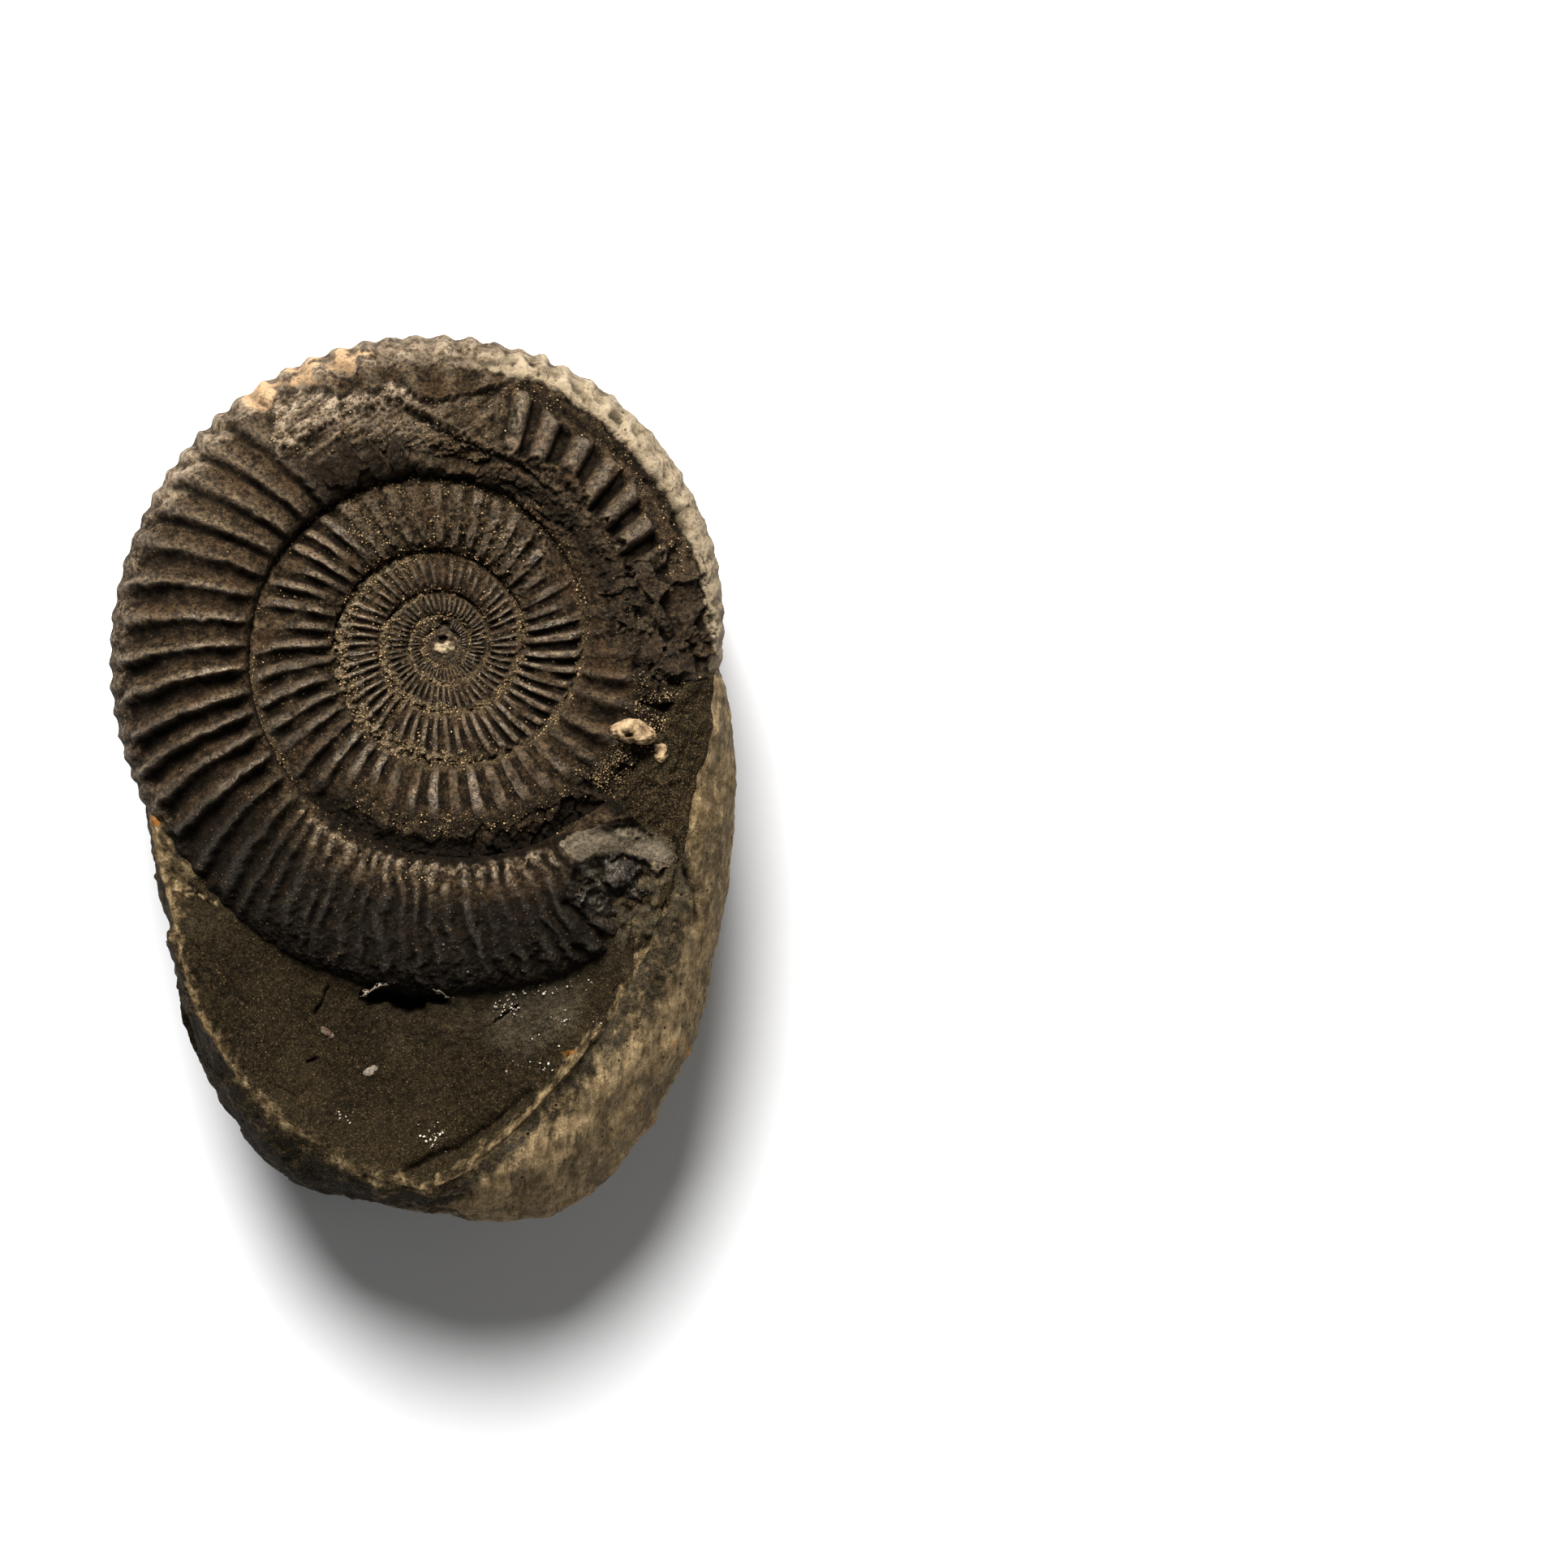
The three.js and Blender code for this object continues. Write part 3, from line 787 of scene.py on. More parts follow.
@dataclass(frozen=True)
class Coil:
    """The shell's smooth form: seams, outer edge, sections and rib spacing."""

    centre: Point = (2.8, 16.7)
    middle_plane: float = 33.0
    seam_radius: float = 30.82
    growth: float = 0.0886
    seam_shift: Point = (-0.0213, 0.0253)
    outer: Triple = (34.0, 0.052, -0.000066)
    seam_share: float = 0.765
    crest_share: float = 0.28
    crest_height: float = 7.4
    foot: Point = (0.8, 6.6)
    break_angle: float = 318.0
    taper_from: float = 294.0
    taper_loss: float = 4.6
    lean: float = 4.0
    rib_marks: tuple[Point, ...] = (
        (-1818, -255), (-1098, -155), (-1033, -146), (-560, -78), (-535.5, -74), (-501, -68.5), (-445, -60.5),
        (-366, -49), (-357, -48), (-342, -46), (-334, -45), (-325, -44), (-232.5, -32.5), (-225.5, -31.5),
        (-199.5, -27.5), (-192, -26.5), (-184.5, -25.5), (-177, -24.5), (-168.5, -23.5), (-160.5, -22.5),
        (-153, -21.5), (-145, -20.5), (-137.5, -19.5), (-30, -6), (-18, -5), (20, 0), (29.4, 1), (36.8, 2),
        (45.2, 3), (53.5, 4), (63, 5), (70, 6), (132, 13.5), (139, 14.5), (146.5, 15.5), (153.5, 16.5),
        (161, 17.5), (168.5, 18.5), (176, 19.5), (182.5, 20.5), (189.5, 21.5), (196.5, 22.5), (202, 23.5),
        (208.5, 24.5), (215.5, 25.5), (297, 38.5), (340, 45.4),
    )

    @property
    def start(self) -> float:
        """Coil angle where the last whorl starts."""
        return self.break_angle - TURN

    def seam(self, coil: Array) -> Array:
        """Radius of the line where a whorl meets the next one out."""
        turned = np.radians(coil)
        shift = 1 + self.seam_shift[0] * np.cos(turned) + self.seam_shift[1] * np.sin(turned)
        return self.seam_radius * np.exp(self.growth * turned) * shift

    def venter(self, coil: Array) -> Array:
        """Radius of the outer edge, where the next whorl hides it as well."""
        a, b, c = self.outer
        free = a + b * coil + c * coil**2 - self.taper_loss * smooth(self.taper_from, self.break_angle, coil)
        inner = self.seam(coil - TURN)
        hidden = inner + (self.seam(coil) - inner) / self.seam_share
        return mix(hidden, free, smooth(self.start - 12, self.start, coil))

    def crest(self, coil: Array) -> Array:
        """Height of the crest over the middle plane."""
        return self.crest_height * np.exp(self.growth * np.radians(np.minimum(coil, 0)))

    def seam_height(self, coil: Array) -> Array:
        """Height over the middle plane where the next whorl covers this one."""
        outwards = (self.seam_share - self.crest_share) / (1 - self.crest_share)
        return self.crest(coil) * math.sqrt(1 - outwards**2)

    def flank(self, coil: Array, share: Array) -> Array:
        """Height of the smooth flank at a share of the whorl's width."""
        crest = self.crest(coil)
        start = self.seam_height(coil - TURN) / crest
        inward = np.clip((self.crest_share - share) / self.crest_share, 0, 1)
        outward = np.clip((share - self.crest_share) / (1 - self.crest_share), 0, 1)
        inner = start + (1 - start) * np.sqrt(1 - inward**2)
        return self.middle_plane + crest * np.where(share < self.crest_share, inner, np.sqrt(1 - outward**2))

    def rib_count(self, coil: Array) -> Array:
        """Counts ribs along the coil: a whole number on a crest."""
        return sum(line(coil + step, self.rib_marks) for step in (-3, -1, 1, 3)) / 4

    def polar(self, angle: Array, radius: Array, height: Array) -> Array:
        """Turns angle, radius and height into a point."""
        turned = np.radians(angle)
        x = self.centre[0] + radius * np.cos(turned)
        y = self.centre[1] + radius * np.sin(turned)
        return np.stack([x, y, np.broadcast_to(height, np.shape(x))], axis=-1)

    def section(self, coil: Array, way: Array) -> tuple[Array, Array, Array]:
        """Walks round a whorl's section.

        Args:
            coil: coil angles, one a column.
            way: degrees round the section: 0 at the seam, 90 on the crest, 180 at the outer edge.

        Returns:
            Share of the width, radius and height, each columns by rows.
        """
        inner_turn, outer_turn = np.radians(np.minimum(way, 90)), np.radians(np.maximum(way - 90, 0))
        share = np.where(way < 90, self.crest_share * (1 - np.cos(inner_turn)),
                         self.crest_share + (1 - self.crest_share) * np.sin(outer_turn))
        inner, outer, crest = self.seam(coil - TURN), self.venter(coil), self.crest(coil)
        start = (self.seam_height(coil - TURN) / crest)[:, None]
        height = np.where(way < 90, start + (1 - start) * np.sin(inner_turn), np.cos(outer_turn))
        radius = mix(inner[:, None], outer[:, None], share[None, :])
        return np.broadcast_to(share, radius.shape), radius, self.middle_plane + crest[:, None] * height


COIL = Coil()

# Outer and inner edge of the scar at the top of the last whorl, and the ledge inside it: angle, radius
SCARP = [(69, 26.5), (73, 30.5), (76.5, 33.4), (82.5, 31.4), (88, 30.3), (95, 30.3), (98.6, 32.9),
         (105, 32.6), (110, 33.5), (112, 32.9), (115, 35.2), (120, 36.8), (125.4, 36.6), (129, 34.0),
         (132, 31.0)]
TEETH = [(69, 26.5), (72, 23.5), (78, 21.6), (86, 21.3), (94, 22.4), (97, 22.6), (100, 23.1), (103.4, 26.8),
         (106.8, 22.9), (109.8, 26.8), (113.5, 24.8), (115.8, 28.5), (119, 27.0), (124, 27.0), (129, 29.5),
         (132, 31.0)]
LEDGE = [(20, 21.1), (33.5, 20.9), (45.8, 20.2), (58, 20.4), (70, 22.0), (76, 23.5), (87.4, 25.3), (98, 29.7),
         (101, 31)]

# Groove inside the pale crust at the upper right, and the crust's inner edge: angle, radius
TROUGH = [(24, 32.9), (32, 32.8), (40, 32.6), (48, 32.6), (59, 32.3), (69.6, 33.2), (74, 33.6)]
CRUST_EDGE = [(-10, 33.2), (8.5, 32.8), (21, 32.9), (31, 33.1), (41, 33.2), (49, 33.5), (60, 33.9),
              (69, 34.6), (76, 34.2)]

# How strongly the ribs stand out along the coil: coil angle, strength
RIB_STRENGTH = [
    (-1900, 1.1), (-680, 1.1), (-660, 0.6), (-600, 0.6), (-585, 1.1), (-420, 1.0), (-355, 1.1), (-345, 0.5),
    (-310, 0.7), (-298, 0.6), (-240, 0.65), (-228, 1.2), (-165, 1.2), (-145, 0.95), (-120, 0.7), (-42, 0.5),
    (-34, 1.1), (-14, 1.1), (-6, 0.4), (12, 0.5), (22, 1.0), (29, 1.7), (72, 1.6), (80, 0.3), (122, 0.3),
    (130, 1.0), (148, 1.1), (162, 1.5), (212, 1.6), (220, 1.2), (236, 0.7), (300, 0.7), (318, 0.2),
]

# Height of a one-sided rib and of a steeper one across the spacing, from one groove to the next
RIB_ACROSS = [0, 0.08, 0.2, 0.34, 0.48, 0.58, 0.66, 0.74, 0.82, 0.92, 1]
RIB_ONE_SIDED = [0, 0.3, 0.52, 0.68, 0.84, 0.95, 1, 0.92, 0.62, 0.12, 0]
RIB_STEEP = [0, 0.06, 0.26, 0.58, 0.92, 1, 0.88, 0.42, 0.08, 0, 0]

# Breaks and scratches, then pits and lumps, of the shell
SHELL_STROKES = [
    Stroke([(-1.4, 45.7), (1.8, 43.9), (4.5, 42.0), (7.7, 40.2), (12, 38.6), (16.5, 35.0)], 0.45, -0.8),
    Stroke([(-0.6, 46.3), (2.6, 44.7), (5.4, 42.9), (8.6, 41.0), (13, 39.3)], 0.35, 0.45),
    Stroke([(19.7, -9.3), (24.7, -8.8), (27.2, -11.3)], 0.35, 0.45),
    Stroke([(18.2, -15.3), (22.7, -19.3), (27.2, -20.3)], 0.5, -0.8),
    Stroke([(25.0, -12.5), (29.0, -15.5)], 0.5, -0.6),
    Stroke([(26.2, 4.2), (27.4, 2.2)], 0.6, -0.9),
    Stroke([(27.6, 9.4), (31.6, 8.7)], 0.5, -1.2),
    Stroke([(29.3, 13.2), (33.0, 11.4)], 0.6, -1.2),
    Stroke([(27.0, 20.5), (31.8, 16.6)], 0.5, -0.7),
]
SHELL_HOLLOWS = [
    Hollow((24.7, -14.7), (2.0, 1.3), -25, -0.7),
    Hollow((25.4, -19.8), (1.3, 0.9), 15, 1.0),
    Hollow((26.0, 0.6), (1.8, 1.2), -35, -1.0, 2.0),
    Hollow((30.3, 8.6), (1.9, 0.9), 10, -0.9, 2.0),
    Hollow((32.3, 12.3), (1.6, 0.9), 25, -0.9, 2.0),
    Hollow((2.8, 19.3), (0.9, 0.7), 0, -0.8, 2.0),
]

# Thin pale lines on the lowest whorl
PALE_STREAKS = [
    Stroke([(-2.1, -16.8), (-1.3, -22.8)], 0.3),
    Stroke([(1.7, -12.8), (2.2, -19.8)], 0.3),
    Stroke([(10.2, -10.8), (12.2, -15.8)], 0.35),
    Stroke([(-9.0, -8.8), (-6.0, -14.0)], 0.3),
]

# The smooth facet on the broken end: three of its points, its outline, and the broken plates round it
FACET = ((20.5, -9.5, 40.0), (24.0, -5.0, 38.3), (30.5, -8.5, 37.6))
FACET_OUTLINE = [(17.0, -8.0), (18.4, -6.8), (22.2, -5.2), (26.2, -5.0), (29.7, -6.8), (31.5, -8.1),
                 (31.0, -10.0), (28.2, -9.6), (24.7, -8.8), (21.7, -8.8), (19.7, -10.0)]
SEAM_POCKETS = [Hollow((23.8, -2.9), (3.8, 1.7), -25, 1, 1.0), Hollow((17.4, -7.2), (2.4, 0.8), 30, 1, 1.5)]
END_PLATES = [(19.0, -10.2), (24.7, -9.0), (28.2, -9.8), (28.5, -12.5), (27.5, -15.5), (26.0, -18.0),
              (22.0, -17.5), (19.0, -15.0)]
ROUGH_END = [(28.0, -9.5), (31.5, -9.0), (34.5, -12.0), (34.0, -20.0), (30.0, -28.0), (22.5, -27.5),
             (26.5, -19.0), (27.5, -15.5)]


def facet_height(xy: Array) -> Array:
    """Height of the broken end's facet over each place."""
    a, b, c = (np.array(point) for point in FACET)
    normal = np.cross(b - a, c - a)
    return a[2] - ((xy[:, 0] - a[0]) * normal[0] + (xy[:, 1] - a[1]) * normal[1]) / normal[2]


@dataclass
class Shell:
    """The coiled shell: its last whorl and the inner ones, which meet in its seams."""

    coil: Coil = COIL
    last_columns: int = 1220
    last_rows: int = 146
    inner_columns: int = 1700
    inner_rows: int = 56
    inner_whorls: int = 5
    rib_relief: float = 1.35
    bar_half_width: float = 0.34
    wall_foot: float = 31.5
    travel_steps: int = 4000
    finish: ShellFinish = ShellFinish()

    def ribs(self, coil: Array, share: Array, way: Array) -> tuple[Array, Array]:
        """Shapes the ribs.

        Args:
            coil: coil angle of each point.
            share: its share of the whorl's width.
            way: its degrees round the section.

        Returns:
            Height from 0 to 1, and how strongly the ribs stand out.
        """
        count = self.coil.rib_count(coil - self.coil.lean * share**2)
        phase = (count + 0.5) % 1
        even = np.sin(np.pi * phase) ** 2
        steep = np.maximum(smooth(152, 168, coil), coil < 0)
        one_sided, steep_one = (np.interp(phase, RIB_ACROSS, form) for form in (RIB_ONE_SIDED, RIB_STEEP))
        one_sided = mix(one_sided, steep_one, steep)
        left = np.cos(np.radians(coil - 185)) > 0
        lop = np.maximum(within(125, 222, 8, coil), 0.4 * left * (coil < -60))
        full = smooth(0.12, 0.80, even)
        single = mix(mix(even, full, smooth(-30, -60, coil) * smooth(-560, -420, coil)), one_sided, lop)
        bars = within(17, 76, 3, coil)
        single = mix(single, np.sqrt(np.clip(1 - ((phase - 0.5) / self.bar_half_width) ** 2, 0, 1)), bars)
        forked = np.sin(np.pi * (count * 5 / 3 + 0.2)) ** 2
        at_edge = smooth(0.86, 0.96, share)
        fine_ribs = within(232, 300, 6, coil) * smooth(0.02, 0.06, share)
        height = mix(single, forked, np.maximum(at_edge, 0.8 * fine_ribs))

        strength = line(coil, RIB_STRENGTH)
        strength = np.maximum(strength, 0.7 * within(82, 126, 6, coil) * smooth(0.52, 0.62, share))
        edge_strength = 0.14 + 0.14 * within(140, 222, 20, coil) + 0.26 * within(60, 140, 10, coil)
        strength = mix(strength, edge_strength, at_edge)
        strength *= 1 - 0.75 * within(-118, -50, 12, coil) * smooth(0.3, 0.5, share)
        strength *= 1 - 0.5 * within(165, 230, 10, coil) * smooth(0.10, 0.02, share)
        patch = NOISE.at(beside(count * 0.6, share * 4, 0 * coil), 1.0)
        strength *= np.where(coil < self.coil.start, np.clip(0.85 + 1.1 * patch, 0.05, 1.2),
                             np.clip(0.95 + 0.4 * patch, 0.5, 1.15))
        on_bar = within(0.38, 0.66, 0.05, share + 0.12 * patch)
        strength *= 1 - bars * (1 - on_bar) * smooth(0.88, 0.80, share)
        far_in = smooth(-400, -440, coil)
        covered = 0.97 * smooth(0.67 - 0.13 * far_in, 0.76 - 0.1 * far_in, share)
        strength *= 1 - (coil < -60) * (covered + 0.6 * far_in * smooth(0.06, 0.02, share))
        return height, strength * smooth(2, 60, way) * smooth(225, 200, way)

    def relief(self, points: Array, coil: Array, share: Array, way: Array) -> tuple[Array, dict[str, Array]]:
        """Carves and weathers the shell.

        Args:
            points: the smooth surface, one point a row.
            coil: coil angle of each point.
            share: share of the whorl's width.
            way: degrees round the section.

        Returns:
            How far each point moves outwards, and the masks for the finish.
        """
        xy = points[:, :2]
        radius = np.hypot(*(xy - np.array(self.coil.centre)).T)
        start = self.coil.start
        inner, last = coil < start, smooth(start - 1, start + 1, coil)
        scale = self.coil.crest(coil) / self.coil.crest_height
        small, tiny = NOISE.at(points, 1.3), OTHER_NOISE.at(points, 0.55)
        fine, lumps = NOISE.rough(points, 0.8, 2, 0.8), NOISE.rough(points, 2.6, 5)
        broad, crags = NOISE.at(points, 4.0), OTHER_NOISE.crags(points, 2.2, 4) - 0.6
        plate = OTHER_NOISE.plates(points + 0.25 * small[:, None], 1.5)
        flake, slab = (NOISE.plates(points + 0.5 * small[:, None], size) for size in (2.3, 4.4))
        wander = 0.5 * small + 0.3 * tiny
        along, across = xy[:, 0] * 0.82 + xy[:, 1] * 0.57, xy[:, 1] * 0.82 - xy[:, 0] * 0.57
        slant = NOISE.rough(beside(along / 3.5, across, 0 * along), 1.5, 4)
        far_in, innermost = smooth(-400, -440, coil), smooth(-380, -470, coil)

        # Ribs
        bars = within(18, 74, 4, coil)
        sway = (0.35 * small + 0.5 * broad) * smooth(0.4, 0.8, scale) * (1 - 0.7 * bars)
        sway += 1.6 * NOISE.at(points, 5.0) * smooth(226, 238, coil)
        height, strength = self.ribs(coil + sway, share, way)
        strength *= 1 - 0.4 * within(161, 184, 5, coil) * within(0.25, 0.6, 0.12, share)
        strength *= 1 + 0.5 * broad * bars
        strength *= 1 + 0.9 * (NOISE.at(points, 3.0) - 0.2) * smooth(228, 240, coil)

        # Where the shell is broken, worn or covered
        scar = between(line(coil, TEETH) + wander, line(coil, SCARP) + wander, 0.3, radius)
        scar *= within(69, 132, 0.1, coil) * smooth(66, 80, coil + 3 * small)
        ledge = np.clip((line(coil, LEDGE) + 1.5 * wander - radius) / 0.8 + 0.5, 0, 1) * scar
        low_band = between(20.0 + wander, 25.1 + 1.5 * wander, 0.8, radius) * within(2, 70, 3, coil)
        trough = np.exp(-(((radius - line(coil, TROUGH)) / (0.75 + 0.3 * small)) ** 2))
        trough *= within(26, 72, 3, coil)
        crust_band = np.clip((radius - line(coil, CRUST_EDGE) - 0.5 * wander) / 0.3 + 0.5, 0, 1)
        crust_band *= smooth(-9, -4, coil) * smooth(93, 66, coil + 5 * small) * smooth(215, 185, way)
        outer_gap = bars * smooth(0.60, 0.68, share + 0.08 * small) * (1 - crust_band)
        plates_part = within(-8, 22, 3, coil) * between(23.5, 33.0, 1.5, radius)
        matrix_part = within(-44, -9, 3, coil) * smooth(22.5, 25.5, radius) * last
        end_part = smooth(296, 303, coil) * smooth(190, 170, way)
        bottom = within(-118, -42, 12, coil) * smooth(0.3, 0.5, share)
        lowest_seam = within(-128, -50, 12, coil) * smooth(0.56, 0.70, share)
        black_band = within(236, 298, 6, coil) * smooth(44, 30, way + 8 * small)
        outline = xy + 0.22 * beside(small + tiny, fine)
        upward = (way < 185) * smooth(288, 294, coil)
        in_facet, facet_form = (inside(outline, FACET_OUTLINE, width) * upward for width in (0.2, 1.0))
        end_plates = inside(outline, END_PLATES, 0.6) * upward
        rough_end = inside(outline, ROUGH_END, 1.2) * upward
        inner_flakes = within(-82, -44, 8, coil) * smooth(0.40, 0.56, share)
        below_scar = within(80, 128, 6, coil) * (1 - scar) * smooth(28, 26, radius)
        flaky = (1 - in_facet) * highest(0.9 * plates_part, 0.6 * matrix_part, 0.9 * inner_flakes, end_plates,
                                         0.6 * rough_end, 0.55 * low_band, 0.5 * below_scar)
        broken = (1 - 0.85 * end_plates) * highest(scar, low_band, 0.7 * outer_gap, 0.12 * plates_part,
                                                   0.7 * matrix_part, 0.7 * bottom, 0.5 * end_part, rough_end)
        faint = within(-318, -232, 12, coil)
        bottom_rough = smooth(226, 244, coil) * smooth(186, 176, way) * smooth(34, 60, way)
        end_slabs = np.maximum(end_plates * (1 - in_facet), 0.8 * plates_part)
        flake_crack = 0.7 * flaky * smooth(0.08, 0.0, flake[1]) * (1 - end_slabs)
        flake_crack += end_slabs * (1 - 0.7 * plates_part) * smooth(0.05, 0.0, slab[1])
        top_seam = within(45, 140, 25, coil % TURN) * inner
        sandy_left = within(120, 262, 25, coil % TURN) * (coil < -390) * smooth(0.45, 0.62, share)

        # How far the surface moves
        for part, loss in ((scar, 0.85), (low_band, 0.75), (trough, 0.8), (matrix_part, 0.8),
                           (plates_part, 0.5), (crust_band, mix(0.85, 0.0, smooth(0.86, 0.94, share)))):
            strength = strength * (1 - loss * part)
        move = self.rib_relief * scale**0.72 * strength * (height - 0.55)
        move += (0.13 * lumps + 0.06 * tiny + 0.09 * fine) * np.sqrt(scale)
        move += faint * (0.8 * crags + 0.22 * fine + 0.15 * tiny)
        move += bottom_rough * (0.16 * lumps + 0.15 * crags + 0.12 * slant + 0.06 * fine)
        move += flaky * (1 - end_slabs) * (0.95 * flake[2] + 0.3 * (flake[0] - 0.5)) - 0.25 * flake_crack
        move += end_slabs * (2.4 * slab[2] + 0.5 * (slab[0] - 0.5) + 0.3 * flake[2] - 0.1)
        jagged = 0.9 * crags + 0.35 * (plate[0] - 0.5)
        move += broken * (jagged * (1 - 0.7 * scar) + 0.2 * lumps + 0.14 * fine) + 0.65 * scar * slant
        seam_fill = smooth(0.68 - 0.14 * far_in, 0.76 - 0.08 * far_in, share) + smooth(50, 20, way)
        seam_fill *= (1 - top_seam) * (coil < -50) * (1 - lowest_seam)
        move += 0.5 * seam_fill * np.sqrt(scale) * (0.35 + small + 0.5 * tiny) - 0.7 * lowest_seam
        move += 0.6 * sandy_left * np.clip(small + tiny + 0.3, -0.2, 1)
        move -= 0.7 * np.sqrt(scale) * top_seam * smooth(0.60, 0.76, share)
        move -= 0.85 * scar + 0.9 * ledge + 0.8 * low_band + (0.5 + 0.5 * small) * trough
        move -= 0.5 * plates_part + 0.5 * outer_gap + 0.35 * matrix_part * smooth(24, 28, radius)
        move += crust_band * (0.35 + 0.16 * lumps + 0.1 * crags)
        for mark in SHELL_STROKES + SHELL_HOLLOWS:
            move += mark.rise * mark.weight(xy + 0.35 * beside(small, tiny)) * (way < 185)
        facet = points[:, 2] + move - facet_height(xy)
        move -= 0.5 * np.maximum(end_plates, rough_end) * (1 - facet_form) * np.maximum(facet + 0.2, 0)
        move = mix(move, move - np.clip(facet, -1.3, 1.6) + 0.04 * lumps, facet_form)

        # What the finish reads
        near_seam = smooth(0.68 - 0.12 * far_in, 0.76 - 0.06 * far_in, share) * inner
        near_seam = np.maximum(near_seam, smooth(50, 10, way))
        groove = np.clip(0.5 - height, 0, 1) * inner * np.clip(1.5 * strength, 0, 1)
        # painted shade in the grooves between ribs
        dark_groove = np.clip((0.45 - height) / 0.35, 0, 1) * np.clip(strength - 0.2, 0, 1)
        sand = 0.05 + 0.65 * near_seam * (coil < 60) + 0.1 * innermost + 0.2 * within(-300, -235, 12, coil)
        sand += (0.5 + 0.3 * innermost) * groove + 0.25 * within(225, 262, 15, coil) * smooth(120, 60, way)
        sand += 0.35 * bottom + 0.7 * matrix_part + 0.3 * scar + 0.15 * low_band + 0.3 * outer_gap
        sand = (sand + 0.1 * faint + 0.9 * sandy_left) * (1 - 0.8 * lowest_seam)
        crest = np.clip(height * 2.2 - 1.2, 0, 1) * np.clip(1.3 * strength, 0, 1)
        crest_lines = np.clip(height * 2.5 - 1.0, 0, 1)
        # painted highlight: thin lit lines along the crests on the upper left
        crest_highlight = smooth(0.90, 0.98, height) * within(122, 186, 8, coil) * smooth(0.4, 0.8, strength)
        green_band = within(236, 296, 6, coil) * smooth(105, 70, way) * smooth(20, 32, way) * crest_lines
        top, lowest = within(74, 150, 10, coil), within(222, 305, 12, coil)
        bands = NOISE.at(beside(coil / 4.5, share * 1.5, 0 * coil), 1.0)
        edge = smooth(0.70, 0.92, share) * (1 - scar) * smooth(225, 200, way)
        lower_left = within(-172, -128, 12, coil) + 0.6 * faint
        # painted highlight on the lowest whorl's lit inner rim, which is also made glossy
        inner_rim = within(232, 292, 8, coil) * within(42, 54, 6, way + 9 * small)
        inner_rim *= smooth(-0.15, 0.3, tiny + small)
        under_teeth = within(80, 128, 6, coil) * smooth(0.5, -0.5, radius - line(coil, TEETH))
        right_inner = highest(within(-420, -300, 15, coil), within(-60, 45, 15, coil % TURN) * inner,
                              within(-345, -285, 10, coil))
        bright_ribs = within(-135, -45, 8, coil) * smooth(0.45, 0.3, share)
        bright_ribs += 5.0 * within(-560, -505, 12, coil)
        pale = sum(stroke.weight(xy + 0.3 * beside(small, tiny)) for stroke in PALE_STREAKS)
        seam_pockets = highest(*(pocket.weight(outline) for pocket in SEAM_POCKETS)) * (1 - in_facet)
        scar_pale = np.clip(0.8 + 1.1 * slant, 0.2, 1.3) * (1 - 0.6 * ledge)
        scar_pale *= 0.15 + 0.85 * smooth(84, 104, coil)
        orange = within(109, 127, 6, coil + 5 * small) * edge * smooth(200, 165, way)
        crest_gloss = (0.5 + 0.5 * right_inner + 0.5 * innermost + 0.8 * bright_ribs + 0.4 * bars
                       + 0.5 * within(-235, -150, 8, coil)
                       + 0.5 * within(168, 212, 6, coil) * smooth(0.6, 0.4, share))
        masks = {
            "sand": sand * (1 + 0.5 * small),
            "crust": highest(crust_band * (1 - 0.4 * smooth(0.90, 0.97, share)), 0.5 * sandy_left,
                             0.42 * rough_end * (1 - in_facet), 0.25 * edge * within(64, 98, 6, coil)),
            "skin": edge * np.maximum(top * (0.6 + 0.6 * (1 - height) + 0.7 * bands),
                                      0.35 * within(150, 215, 15, coil)),
            # real wear on crests, pale streaks and greenish ridges, and painted highlights on lit crest lines
            # and the inner rim
            "worn": highest(crest * (0.10 + 0.06 * bright_ribs + 0.2 * top),
                            0.10 * within(122, 166, 10, coil) * (0.3 + 0.7 * height), 0.7 * inner_rim,
                            0.75 * crest_highlight * np.clip(0.55 + 0.9 * small, 0, 1),
                            0.5 * pale * np.clip(0.5 + small, 0, 1), 0.25 * green_band),
            "bare": np.clip(0.9 * scar * scar_pale + 0.08 * low_band, 0, 1),
            "facet": in_facet,
            "rust": Hollow((-19.8, 47.2), (2.2, 1.6), 20, 1, 1.2).weight(xy)
            + 0.8 * orange * np.clip(0.6 + small + bands, 0, 1),
            # painted shade in recesses: the trough, the top seams, rib grooves, the lowest seam and the dark
            # band above the lit rim, cracks between plates, pockets and the gap by the bars
            "deep_shade": highest(0.8 * trough, smooth(34, 4, way) * within(60, 240, 20, coil % TURN),
                            0.8 * dark_groove * (1 - 0.5 * innermost), top_seam * smooth(0.66, 0.76, share),
                            0.9 * lowest_seam, 0.95 * black_band, 0.9 * flake_crack,
                            0.5 * low_band * smooth(45, 30, coil + 6 * small), seam_pockets,
                            0.85 * within(20, 66, 5, coil) * between(20.2, 22.6 + wander, 0.6, radius)),
            "shade": lowest * (0.2 * smooth(48, 70, way) + 0.7 * smooth(72, 112, way)
                               + 0.8 * smooth(84, 120, way))
            + 0.45 * np.clip(lower_left, 0, 1) * np.clip(0.8 + 0.8 * small, 0, 1) + 1.3 * matrix_part
            + 0.25 * end_slabs + 0.8 * under_teeth + 0.9 * bottom * (1 - 0.6 * np.clip(2 * small, 0, 1))
            + 0.25 * within(200, 222, 10, coil) + 0.1 * within(-8, 22, 5, coil),
            "gloss": np.clip(0.3 * bottom_rough * smooth(0.05, 0.5, small + tiny) + crest * crest_gloss
                             + 0.9 * inner_rim + 0.5 * green_band * (small > 0) + 0.25 * faint * (small > 0)
                             + 0.9 * np.maximum(end_plates * (1 - in_facet), 0.25 * plates_part), 0, 1),
        }
        return move, masks

